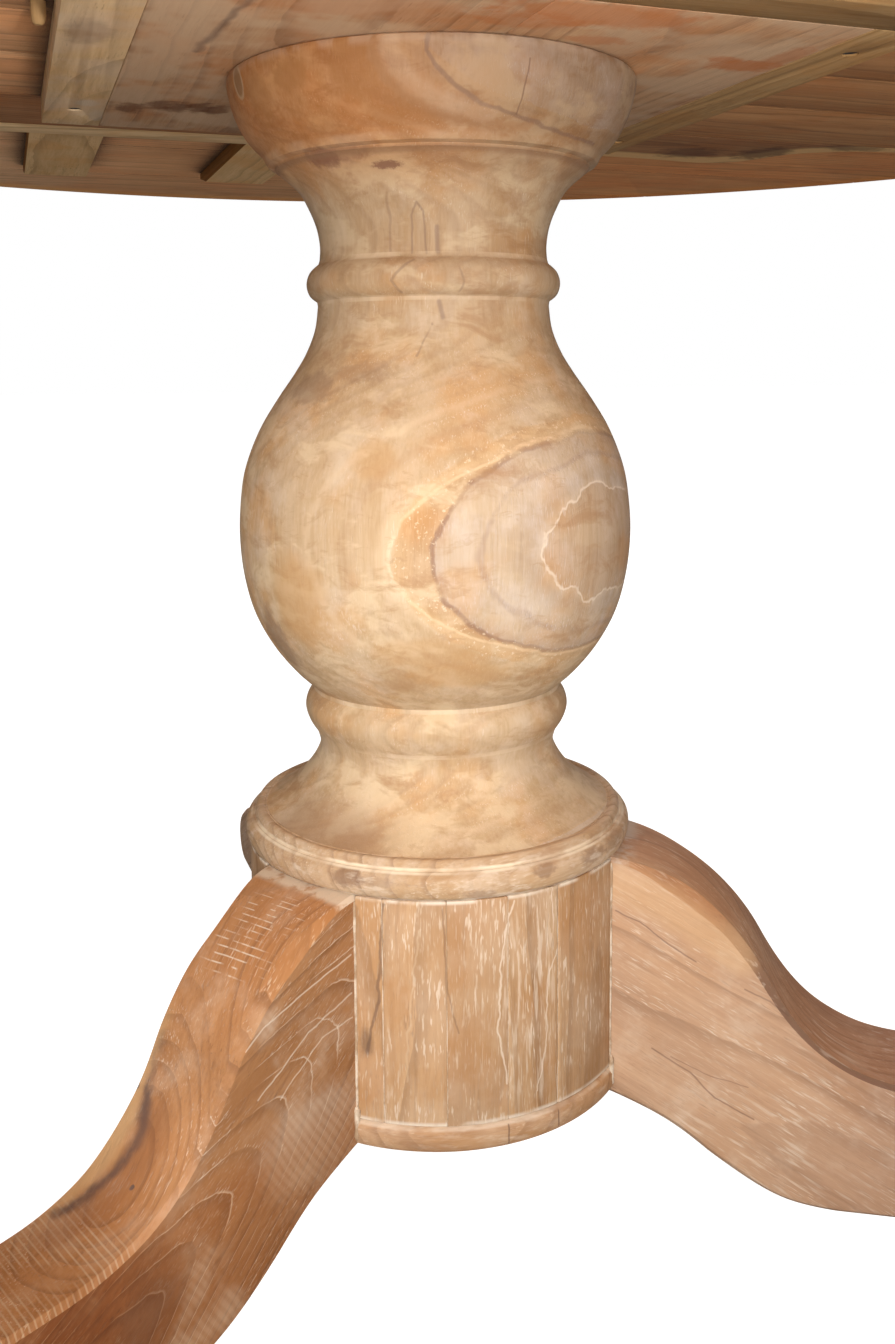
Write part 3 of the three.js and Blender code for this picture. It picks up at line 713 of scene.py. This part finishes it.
def left_leg_marks(g):
    angle = LEG_ANGLES["leg_left"]
    out = leg_point(angle, 1, 0, 0)
    across = leg_point(angle, 0, 1, 0)

    def at(*point):
        return leg_point(angle, *point)

    top = g.upward()
    side = g.less(top)
    # Painted light: the top face is lightened, as it takes more light than the side faces.
    g.tint((1.3, 1.3, 1.32), top)
    # Lime in arcs, films and thin rings on the side face, and dark heartwood at its foot.
    film = g.math("MAXIMUM", g.spot(at(150, 37, 88), (30, 30, 24), 0.7, 0.6),
                  g.blotch(0.018, 0.54, 0.7, 3, 0.6))
    slope = math.radians(35)
    arcs = g.strokes(at(math.cos(slope), 0, -math.sin(slope)), 4.4, 0.42, 0.5)
    g.paint(LIME, arcs, side, film, 0.13)
    g.paint(LIME, side, film, 0.2)
    g.tint((0.87, 0.8, 0.68), g.bevel(across), g.fade(out, 250, 160))
    g.paint(LIME, g.step(g.part, 0.075, 0.01), side, g.blotch(0.03, 0.4, 0.58), 0.45)
    g.tint((0.92, 0.74, 0.56), g.fade(UP, 112, 80), side, 0.7)
    g.paint((0.17, 0.065, 0.025), g.spot(at(257, 37, 55), (17, 17, 24), 0.8, 0.6), side, 0.55)
    g.lines((
        (leg_points(angle, [(116.3, 37, 182), (144, 37, 176), (181, 37, 166), (193, 37, 158)]),
         0.5, 0.8, 0.55, LIME),
        (leg_points(angle, [(116, 37, 160), (150, 37, 150), (186, 37, 128)]), 0.5, 1.5, 0.5, LIME),
        (leg_points(angle, [(116, 37, 145), (140, 37, 143), (170, 37, 122)]), 0.45, 1.5, 0.45, LIME),
    ))
    # Saw marks across the top face: a regular field down the leg and scratches at its root.
    saw = g.times(g.strokes(at(1, -0.13, 0), 3.3, 0.21, 0.1), top, g.fade(out, 258, 272))
    g.paint((0.7, 0.55, 0.39), saw, g.blotch(0.03, 0.34, 0.52, 2), 0.52)
    root = g.math("MAXIMUM", g.spot(at(145, 2, 205), (21, 21, 7)), g.spot(at(169, 0, 190), (23, 23, 8), 0.6))
    scratch = g.times(g.strokes(at(1, 0.05, 0), 3.6, 0.13, 0.12), top, root)
    g.paint(LIME, scratch, g.blotch(0.11, 0.42, 0.54, 2), 0.75)
    # The waney edge: sapwood, the black streak along it, a brown one beside that, and worm holes.
    sapwood = [(205, -30, 148), (216, -28, 128), (228, -24, 113), (241, -22, 103), (262, -26, 92)]
    sap = g.times(g.line(leg_points(angle, sapwood), 9.5, 2.5, 0.5), top)
    waney = g.times(g.fade(across, -15, -24), g.fade(out, 190, 205), g.fade(out, 285, 268))
    g.paint((0.58, 0.36, 0.175), g.math("MAXIMUM", sap, waney), 0.78)
    black = [(203, -20.4, 149), (216.5, -16.1, 129), (228.2, -6.2, 114), (240.3, -6.3, 103),
             (260.2, -9.8, 92), (273, -15.5, 89)]
    black = g.line(leg_points(angle, black), 3.4, 5, 0.9, 0.055)
    g.paint((0.11, 0.075, 0.065), black, top, g.blotch(0.05, 0.3, 0.55, 4, 0.65, 0.25), 0.88)
    brown = [(222, 0, 120), (240, 3, 104), (262, 0, 92), (282, -6, 87)]
    g.paint((0.27, 0.11, 0.045), g.line(leg_points(angle, brown), 9, 5, 0.8), top, 0.45)
    holes = [(217.3, -24.1, 127), (213.6, -27.1, 134), (229.3, -25.8, 113), (241.1, -27.2, 103),
             (246, 9.5, 99)]
    hole_size = (1.3, 1.3, 2.6)
    holes = [(place, hole_size, 0.8) for place in leg_points(angle, holes)]
    g.spots((0.1, 0.08, 0.08), holes, 0.5, 0.4)
    seat = g.times(g.blotch(0.05, 0.36, 0.52, 4, 0.6), g.fade(out, 127.5, 122))
    g.paint((0.74, 0.62, 0.47), seat, top, 0.8)
    toe = g.fade(out, 225, 300)
    g.tint((0.84, 0.7, 0.58), toe, side)
    g.tint((0.66, 0.58, 0.48), toe)


def right_leg_marks(g):
    angle = LEG_ANGLES["leg_right"]
    out = leg_point(angle, 1, 0, 0)
    top = g.upward()
    bevel = g.bevel(leg_point(angle, 0, -1, 0))
    # Painted shade: the top face is darkened, partly its own browner tone and partly shade on it.
    g.tint((0.95, 0.8, 0.68), top)
    g.tint((0.82, 0.74, 0.66), bevel)
    g.paint((0.2, 0.115, 0.075), bevel, g.fade(out, 170, 215), 0.8)
    g.paint(LIME, g.fleck(0.36, 0.03, 0.55, 0.66), g.blotch(0.02, 0.4, 0.6), 0.4)
    g.lines((leg_points(angle, points), *look) for points, *look in (
        ([(116.4, -37, 182), (130.8, -37, 176), (147.5, -37, 164), (164.1, -37, 154)],
         0.45, 1, 0.6, (0.17, 0.09, 0.06)),
        ([(192.9, -37, 139), (207.4, -37, 133), (219.3, -35, 124)], 0.5, 1, 0.5, (0.17, 0.09, 0.06)),
        ([(138.7, -37, 97), (161.5, -37, 84), (176.5, -37, 69), (199.6, -37, 58)],
         0.5, 0.8, 0.6, (0.18, 0.09, 0.055)),
        ([(150, -37, 93), (170, -37, 84), (196, -37, 78)], 0.35, 0.8, 0.5, (0.2, 0.1, 0.06)),
    ))
    honey = leg_points(angle, [(116, -37, 200), (150, -37, 186), (190, -37, 160)])
    g.paint((0.6, 0.37, 0.19), g.line(honey, 11, 3), 0.5)
    seat = g.times(g.blotch(0.05, 0.4, 0.56, 4, 0.6), g.fade(out, 130, 121))
    g.paint((0.6, 0.5, 0.4), seat, top, 0.7)
    g.tint((0.78, 0.74, 0.74), g.fade(out, 190, 300))


def face_spots(g, tone, height, rows, ragged=0.5, soft=0.35, depth=12):
    """Spots on a flat face at that height, from rows of centre, radii and strength in X and Y."""
    g.spots(tone, (((*at, height), (*radii, depth), strength) for at, radii, strength in rows), ragged, soft)


PLATE_FACE = 679


def plate_marks(g):
    g.paint((0.6, 0.42, 0.27), g.blotch(0.017, 0.4, 0.58, 3, 0.6), 0.65)
    face_spots(g, (0.5, 0.17, 0.055), PLATE_FACE, (
        ((156, -99), (20, 13), 0.75), ((138, -108), (9, 8), 0.6), ((168, -120), (9, 30), 0.5),
        ((30, -168), (52, 20), 0.6), ((0, -150), (30, 14), 0.45), ((48, -124), (18, 8), 0.5),
        ((-90, -150), (60, 25), 0.3),
    ), 0.9)
    chips = ((-167, 125), (-149, 110), (-137, 112), (-123, 111), (-112, 114))
    face_spots(g, (0.17, 0.07, 0.03), PLATE_FACE, ((at, (8, 15), 0.75) for at in chips), 1, 0.5, 10)
    crack = [(x, y, PLATE_FACE) for x, y in ((-137, -150), (-139, -120), (-143, -93), (-147, -35))]
    g.paint((0.14, 0.09, 0.07), g.line(crack, 2.2, 5, 0.9, 0.04), 0.55)


def dim_marks(g):
    g.tint((0.54, 0.48, 0.4), 1)


def cleat_marks(g):
    face_spots(g, (0.25, 0.13, 0.06), PLATE_FACE, [((-205, -58), (12, 24), 0.7)])
    filled = (((-194, 117), (7, 9), 0.6), ((-186, 158), (5, 16), 0.5))
    face_spots(g, (0.62, 0.52, 0.4), PLATE_FACE, filled)
    g.paint((0.66, 0.52, 0.38), g.blotch(0.02, 0.4, 0.62), 0.45)


def batten_marks(g):
    # Painted shade: the upright faces of the battens are darkened, as they take less light than the
    # undersides.
    g.tint((0.4, 0.29, 0.17), g.step(g.math("ABSOLUTE", g.up), 0.8, 0.4))
    g.tint((0.92, 0.86, 0.76), 1)


def painted_gap_shade(g, reach):
    """Painted shade: darkens the corners against other pieces and the gaps under the top, by ambient
    occlusion.
    """
    near = g.node("ShaderNodeAmbientOcclusion", samples=6)
    near.inputs["Distance"].default_value = reach * MM
    g.paint(GAP_SHADE, g.step(near.outputs["AO"], 0.94, 0.6), 0.88)


def waney_marks(g):
    face = 697
    g.tint((0.52, 0.48, 0.48), 1)
    bark_edge = ((200, 290), (310, 291), (366, 294), (390, 278), (414, 232), (466, 202), (520, 194))
    bark_edge = [(x, y, face) for x, y in bark_edge]
    g.paint((0.86, 0.54, 0.24), g.line(bark_edge, 15, 5, 0.4, 0.03), 0.92)
    knots = (((330, 262), (26, 24), 0.6), ((395, 245), (22, 30), 0.7), ((455, 190), (30, 22), 0.6))
    face_spots(g, (0.12, 0.06, 0.035), face, knots, 0.8)
    # Painted shade in the corners and gaps.
    painted_gap_shade(g, 22)


def panel_marks(g):
    g.tint((0.74, 0.7, 0.68), g.fade((1, 0, 0), 150, 260))
    g.tint((1.12, 1.16, 1.34), g.fade((-1, 0, 0), 180, 260))
    # Painted shade in the corners and gaps.
    painted_gap_shade(g, 26)


def top_marks(g):
    below = g.step(g.up, 0.2, -0.2)
    # Painted shading on the underside near the rim, in place of an under-bevel that isn't modelled.
    g.tint((1.22, 1.06, 0.72), g.radial(850, 880), below, 0.8)
    g.tint((1.14, 1.32, 1.55), below, g.fade((-1, 0, 0), 60, 300))
    g.tint((0.92, 0.79, 0.66), below, g.fade((1, 0, 0), 80, 260))
    g.tint((0.62, 0.5, 0.42), g.blotch((0.012, 0.03, 0.03), 0.5, 0.7, 4, 0.6), 0.35)
    g.tint((0.7, 0.84, 1.05), g.upward(0.2, 0.8))
    # Painted shade in the corners and gaps.
    painted_gap_shade(g, 38)


def board_wood(name, tones, marks=None, along=(1, 0, 0), thickness_axis=UP, **look):
    """The wood of a flat board: its pith line runs beside it, at a distance of its own."""
    low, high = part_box(name)
    middle = (low + high) / 2 / MM
    draw = random.Random(name)
    depth = draw.uniform(28, 110) * draw.choice((-1, 1))
    if name.endswith("waney"):
        depth = -16  # the pith close behind the face gives the broad figure seen in the photograph
    over = Vector(thickness_axis)
    across = Vector(along).cross(over)
    pith = middle + over * depth + across * draw.uniform(-35, 35)
    direction = Vector(along) + across * draw.uniform(-0.02, 0.02) + over * draw.uniform(-0.05, 0.05)
    tint = draw.uniform(0.9, 1.1)
    tones = tuple(tuple(c * tint for c in tone) for tone in tones)
    return wood(name + "_wood", tuple(pith), tuple(direction), tones, marks, seed=draw.uniform(1, 9), **look)


def plain(name, colour, rough, metal, grain):
    """Steel or nylon with a fine uneven surface."""
    g = Graph(name, seed=2)
    speck = g.noise(g.drift, grain, 4, 0.6)
    g.colour = colour
    g.paint(tuple(0.7 * c for c in colour), g.step(speck, 0.35, 0.65))
    g.shader.inputs["Metallic"].default_value = metal
    return g.finish(g.step(speck, 0.2, 0.8, rough - 0.1, rough + 0.12), speck, 0.2, 0.0003)


def filler_material():
    """Lime paste in the joints: chalky, stained brown here and there."""
    g = Graph("lime_filler", seed=3)
    stain = g.noise(g.drift, 0.06, 4, 0.65)
    g.colour = (0.72, 0.61, 0.47)
    g.paint((0.42, 0.28, 0.165), g.step(stain, 0.4, 0.6))
    return g.finish(g.step(stain, 0.2, 0.8, 0.82, 0.95), g.noise(g.drift, 0.5, 3), 0.4, 0.0005)


# ---------------------------------------------------------------- column and ring
ROUND = 192  # sides of a turned piece
# Radius and height, in millimetres, from the lower tenon's socket to the upper tenon.
COLUMN_PROFILE = [
    [(0, 232), (6.3, 230), (6.3, 170), (32, 170), (32, 232), (108, 232)],
    catmull([(108.5, 236.4), (101, 240.5), (89, 250), (79.5, 261.5), (74, 273), (75.2, 281)], 26),
    catmull([(76.4, 284), (80.6, 290.5), (82.8, 298), (81.2, 305), (77.6, 309.5)], 18),
    catmull([
        (77.5, 312), (90, 323.5), (103, 340), (113.3, 360), (119.2, 383), (121.4, 407), (120.1, 430),
        (116.6, 449), (108, 471), (97, 489.5), (86, 505.5), (78.5, 518), (73, 532), (71, 546),
    ], 84),
    catmull([(71.4, 548.5), (76, 552.5), (77.8, 559.2), (75.8, 566), (70.6, 571)], 18),
    catmull([(69.8, 573.5), (69.4, 582), (71.2, 593), (75.4, 604), (82, 615.5), (94.4, 626.5)], 28),
    [(95.0, 626.8), (95.6, 628.4), (99.4, 629.6), (100.8, 631.4), (101.6, 633.2)],
    catmull([(103, 635.5), (112, 645), (118.5, 657), (122, 669), (123, 675)], 24),
    [(123, 676.5), (122.4, 678.2), (121.2, 679), (40, 679), (40, 696), (0, 696)],
]


def add_column():
    points = [p for part in COLUMN_PROFILE for p in part]
    shape = lathe(points, ROUND, wobble=0.35, closed=False)
    look = wood("column_wood", (-23.4, 29.4, 407), (0.01, -0.006, 1), COLUMN_TONES, column_marks,
                phase=-24.75, ring_strength=0.22, waves=3, patches=0.65, patch_size=46, pores=0.14,
                pore_size=0.8, film=0.34, crisp=0.8, streaks=0.14, ragged=1.1)
    piece("column_turned", shape, look, "column")


def add_ring():
    profile = [(32.3, 215.5), (117.6, 215.5), (118.6, 215.9)]
    profile += catmull([(120.4, 217.6), (121.8, 222.5), (121, 228), (117.6, 231.4)], 14)
    profile += [(116.6, 231.3), (115.9, 231.9)]
    profile += catmull([(115.6, 234), (114, 236.6), (111.5, 237), (109.6, 236)], 12)
    profile += [(108.8, 231.7), (32.3, 231.7)]
    shape = lathe(profile, ROUND, wobble=0.3)
    look = wood("plinth_ring_wood", (60, 40, 190), (1, 0.25, 0.05), RING_TONES, ring_marks, ring=6.5,
                patches=0.6, patch_size=38, lime=0.6, film=0.35, seed=2.3)
    piece("plinth_ring_turned", shape, look, "plinth_ring")
    seal = [(108.2, 234.4), (109.9, 234.4), (110.3, 235.8), (109.2, 236.7), (108.1, 236.2)]
    piece("plinth_ring_seal", lathe(seal, ROUND, wobble=0.3), look, None)


# ---------------------------------------------------------------- hub
def leg_room(angle):
    """The room that a leg takes in the hub, for a leg at that angle."""
    half = (LEG_HALF + 0.3) * MM
    inner, outer = 85 * MM, 200 * MM
    top = 0.3
    corners = [(inner, -half), (outer, -half), (outer, half), (inner, half)]
    return turned(prism(corners, 0.0, top), angle)


def outward(name):
    """The direction straight out from the axis through a node's middle."""
    low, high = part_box(name)
    middle = (low + high) / 2
    return Vector((middle.x, middle.y, 0)).normalized()


def add_hub():
    staves = sorted(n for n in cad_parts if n.startswith("stave_"))
    for name in staves:
        shape = eased(name, 0.7, edge_angle=40)
        look = board_wood(name, HUB_TONES, hub_marks, UP, outward(name), ring=7, ring_strength=0.45,
                          waves=8, pores=0.5, pore_size=0.85, lime=0.7, film=0.12)
        piece(name + "_board", shape, look, name)
    profile = [(28, 68), (117.2, 68), (119.8, 69.2), (121.2, 71.8), (121.2, 79.6), (120.4, 81.6),
               (118.4, 83.2), (117.4, 83.5), (28, 83.5)]
    shape = lathe(profile, ROUND, wobble=0.25)
    for angle in LEG_ANGLES.values():
        shape = boolean(shape, leg_room(angle), "DIFFERENCE")
    look = wood("hub_bottom_band_wood", (40, 60, 20), (1, -0.2, 0.03), RING_TONES, band_marks, ring=6,
                patches=0.6, patch_size=40, film=0.12, seed=4.1)
    piece("hub_bottom_band_turned", shape, look, "hub_bottom_band")


def bead(points, radius, seed):
    """A closed uneven bead of filler along a line of points, all in millimetres."""
    shape = bmesh.new()
    count = 10
    rings = []
    last = len(points) - 1
    for i, point in enumerate(points):
        along = (Vector(points[min(i + 1, last)]) - Vector(points[max(i - 1, 0)])).normalized()
        aside = along.cross(Vector((0.3, 0.9, 0.2))).normalized()
        over = along.cross(aside)
        taper = 0.35 if i in (0, last) else 1.0
        ring = []
        for k in range(count):
            a = 2 * math.pi * k / count
            out = aside * math.cos(a) + over * math.sin(a)
            place = Vector(point) * 0.16 + out * 0.8 + Vector((seed, 0, 0))
            size = radius * taper * (1.0 + 0.55 * noise.noise(place))
            ring.append(shape.verts.new((Vector(point) + out * size) * MM))
        rings.append(ring)
    skin(shape, rings)
    shape.faces.new(rings[0])
    shape.faces.new(rings[-1])
    return shape


SEAM_RADIUS = 0.85
SEAM_HEIGHTS = range(86, 214, 3)
BLOB_RADIUS = 1.9  # the thicker paste at a seam's foot
BLOB_HEIGHTS = range(71, 93, 2)
JOINT_LOW = 0.0845
JOINT_HIGH = 0.2145


def add_filler():
    """Lime paste along the seams where the legs enter the hub, and in the joints between the staves."""
    look = filler_material()
    half = LEG_HALF + 0.2
    hub_radius = 119.2
    reach = math.sqrt(hub_radius**2 - half**2)
    for i, (leg, angle) in enumerate(LEG_ANGLES.items()):
        for side in (-1, 1):
            seed = 3.7 * i + side
            hand = "right" if side < 0 else "left"
            seam = [leg_point(angle, reach, side * half, h) for h in SEAM_HEIGHTS]
            seam = bead(seam, SEAM_RADIUS, seed)
            piece(f"{leg}_seam_{hand}", seam, look, None, 60)
            blob = [leg_point(angle, reach + 0.8, side * (half + 0.3), h) for h in BLOB_HEIGHTS]
            blob = bead(blob, BLOB_RADIUS, seed + 9)
            piece(f"{leg}_blob_{hand}", blob, look, None, 60)
        # Between this leg and the next the staves stand in front of a thin wall of paste.
        start, span, count = angle + 19.5, 81, 40
        inner, outer = 116.0, 118.75
        outline = []
        for r, steps in ((inner, range(count + 1)), (outer, range(count, -1, -1))):
            for k in steps:
                a = math.radians(start + span * k / count)
                outline.append((r * MM * math.cos(a), r * MM * math.sin(a)))
        wall = prism(outline, JOINT_LOW, JOINT_HIGH)
        piece(f"{leg}_joint_filler", wall, look, None)


# ---------------------------------------------------------------- legs
def leg_outline(divisions=28):
    """A leg's side outline, as (distance from the axis, height) in millimetres, from its inner top."""
    sole = 3.3
    points = [(85.3, 215.0), (98.0, 215.0), (112.0, 215.0)]
    points += bezier((112, 215), (150, 210), (184, 186), (205, 148), divisions)
    points += bezier((205, 148), (228, 106), (252, 84), (312, 84), divisions)
    points += bezier((312, 84), (400, 84), (455, 80), (495, 66), divisions)
    points += bezier((495, 66), (522, 56), (540, 44), (540, 28), divisions // 2)
    points += bezier((540, 28), (540, 12), (528, sole), (512, sole), divisions // 2)
    points += [(450.0, sole), (380.0, sole), (310.0, sole), (250.0, sole)]
    points += bezier((250, sole), (212, sole + 1), (196, 18), (172, 34), divisions)
    points += bezier((172, 34), (154, 48), (136, 58), (112, 66), divisions)
    points += [(98.0, 66.6), (85.3, 67.0)]
    return points


def ramp(value, start, end):
    return max(0.0, min(1.0, (value - start) / (end - start)))


def chamfer_width(distance, height, side, seed, waney):
    """The width of the chamfer or easing along one edge of a leg, in millimetres."""
    eased_edge = 3.2 + 0.9 * noise.noise(Vector((distance * 0.03, height * 0.03, seed)))
    below = height < 60 or (height < 100 and distance < 215)
    if below:
        return eased_edge
    rise = ramp(distance, 118, 168)
    if waney and side < 0:
        # This edge keeps the tree's own rounding, far down the leg.
        fall = ramp(distance, 400, 320)
        deep = 9.5 + 1.8 * noise.noise(Vector((distance * 0.02, height * 0.02, seed)))
    else:
        fall = ramp(distance, 236, 156) if height > 84 else 0.0
        deep = 5.0
    share = rise * fall
    return eased_edge + deep * share * share * (3 - 2 * share)


def leg_shape(seed, waney=False):
    outline = leg_outline()
    count = len(outline)
    shape = bmesh.new()
    # Across the edge: the flat of the rim, the chamfer's two edges rounded, and the side face.
    columns = []
    for i, (d, h) in enumerate(outline):
        before = Vector(outline[i - 1])
        after = Vector(outline[(i + 1) % count])
        along = (after - before).normalized()
        inward = Vector((along.y, -along.x))
        at = Vector((d, h))
        column = []
        for side in (-1, 1):
            c = chamfer_width(d, h, side, seed + side * 7.0, waney)
            r = min(1.2, 0.35 * c)
            steps = [(0.0, LEG_HALF - c - r), (0.18 * r, LEG_HALF - c + 0.25 * r),
                     (c - 0.25 * r, LEG_HALF - 0.18 * r), (c + r, LEG_HALF)]
            points = [
                (at.x + inward.x * deep, side * lateral, at.y + inward.y * deep)
                for deep, lateral in steps
            ]
            column.append(points if side > 0 else points[::-1])
        columns.append(column[0] + column[1])
    grid = [[shape.verts.new(Vector(p) * MM) for p in column] for column in columns]
    skin(shape, grid + grid[:1], around=False)
    shape.faces.new([column[0] for column in grid])
    shape.faces.new([column[-1] for column in grid])
    return shape


LEG_LOOKS = {
    # pith point as (distance, side, height), grain slope in degrees, side lean, tones, marks,
    # lime in the pores, millimetres from ring to ring, lime film, the rings' phase
    "leg_left": ((194, -8, 103), 35, 0.2, LEFT_TONES, left_leg_marks, 0.38, 4.8, 0.14, 0.35),
    "leg_right": ((200, 60, 60), 29, -0.05, RIGHT_TONES, right_leg_marks, 0.62, 6.0, 0.24, 0.65),
    "leg_rear": ((200, -70, 90), 32, 0.1, RIGHT_TONES, None, 0.62, 6.0, 0.24, 0.65),
}


def leg_wood(name, angle):
    pith, slope, lean, tones, marks, lime, ring, film, phase = LEG_LOOKS[name]
    slope = math.radians(slope)
    direction = leg_point(angle, math.cos(slope), lean, -math.sin(slope))
    return wood(name + "_wood", leg_point(angle, *pith), direction, tones, marks, ring, phase, waves=7,
                patches=0.4, pore_size=0.9, lime=lime, film=film, bump=0.45, seed=angle / 50)


def add_legs():
    for i, (name, angle) in enumerate(LEG_ANGLES.items()):
        shape = turned(leg_shape(11.0 * i, waney=name == "leg_left"), angle)
        piece(name + "_sawn", shape, leg_wood(name, angle), name)


# ---------------------------------------------------------------- top and its underframe
def add_top():
    low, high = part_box("top_plank_5")
    z0, z1 = low.z, high.z
    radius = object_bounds()[1].x
    edge = 0.005
    rim = [(radius - edge, z0), (radius - 0.4 * edge, z0 + 0.35 * edge), (radius, z0 + edge),
           (radius, z1 - edge), (radius - 0.4 * edge, z1 - 0.35 * edge), (radius - edge, z1)]
    rim = [(0, z0)] + rim + [(0, z1)]
    count = 10
    pitch = 2 * radius / count
    ease = 0.0012
    gap = 0.00015
    proud = 0.0001
    past_rim = 0.05
    for i in range(count):
        y0 = -radius + i * pitch + gap - (past_rim if i == 0 else 0)
        y1 = -radius + (i + 1) * pitch - gap + (past_rim if i == count - 1 else 0)
        disc = lathe([(r / MM, z / MM) for r, z in rim], 360, closed=False)
        outline = [
            (y0, z0 + ease), (y0 + ease, z0 - proud), (y1 - ease, z0 - proud), (y1, z0 + ease),
            (y1, z1 - ease), (y1 - ease, z1 + proud), (y0 + ease, z1 + proud), (y0, z1 - ease),
        ]
        bar = prism(outline, -1.0, 1.0)
        lengthwise = Matrix(((0, 0, 1), (1, 0, 0), (0, 1, 0)))
        bmesh.ops.rotate(bar, verts=bar.verts, cent=(0, 0, 0), matrix=lengthwise)
        shape = boolean(disc, bar, "INTERSECT")
        name = f"top_plank_{i + 1}"
        look = board_wood(name, TOP_TONES, top_marks, ring=7.5, ring_strength=0.4, patch_size=110,
                          pores=0.5, lime=0.15, film=0.05, pale=UNDER_FILM, gloss=0.04)
        piece(name + "_board", shape, look, name)


UNDERFRAME = (
    # first part of the name, slot, tones, marks, grain direction
    ("panel_lath", "pale_wood", PALE_TONES, None, (1, 0, 0)),
    ("panel_plank_6", "panel_wood", PANEL_TONES, waney_marks, (1, 0, 0)),
    ("panel_", "panel_wood", PANEL_TONES, panel_marks, (1, 0, 0)),
    ("mounting_", "plate_wood", PLATE_TONES, plate_marks, (0, 1, 0)),
    ("cleat_near", "pale_wood", PALE_TONES, dim_marks, (1, 0, 0)),
    ("cleat_right", "pale_wood", PALE_TONES, dim_marks, (0, 1, 0)),
    ("cleat_", "pale_wood", PALE_TONES, cleat_marks, (0, 1, 0)),
    ("batten_", "pale_wood", PALE_TONES, batten_marks, (0, 1, 0)),
)


def add_peg():
    low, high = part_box("locating_peg")
    middle = (low + high) / 2
    tall = (high.z - low.z) / MM
    profile = [(0, 4.0), (1.8, 4.2), (3.0, 5.2), (3.7, 7.0), (3.9, 9.5), (3.9, tall), (0, tall)]
    shape = lathe(profile, 48, wobble=0.2, closed=False)
    bmesh.ops.translate(shape, verts=shape.verts, vec=(middle.x, middle.y, low.z))
    look = board_wood("locating_peg", PALE_TONES, dim_marks, UP, (1, 0, 0),
                      lime=0.1, film=0.05, gloss=0.04)
    piece("locating_peg_turned", shape, look, "locating_peg")


def add_underframe():
    for name in sorted(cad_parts):
        if "screw" in name:
            continue
        for start, slot, tones, marks, along in UNDERFRAME:
            if name.startswith(start):
                look = board_wood(name, tones, marks, along, ring=6.5, waves=8, patches=0.55, pores=0.5,
                                  lime=0.15, film=0.08, pale=UNDER_FILM, gloss=0.04)
                piece(name + "_board", eased(name, 1.0), look, name)
                break


def dress_hidden_nodes():
    """The CAD nodes that stay: inner wood, fixings and glides."""
    steel = plain("steel", (0.11, 0.1, 0.09), 0.75, 1.0, 0.4)
    nylon = plain("nylon", (0.045, 0.043, 0.042), 0.55, 0.0, 0.5)
    for name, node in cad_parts.items():
        if node.hide_render:
            continue
        if "screw" in name or "bolt" in name:
            look = steel
        elif "glide" in name:
            look = nylon
        else:
            look = board_wood(name, HUB_TONES, None, UP, (1, 0, 0), lime=0.3)
        node.data.materials.clear()
        node.data.materials.append(look)


add_camera()
add_lights()
add_floor()
add_column()
add_ring()
add_hub()
add_filler()
add_legs()
add_top()
add_underframe()
add_peg()
dress_hidden_nodes()
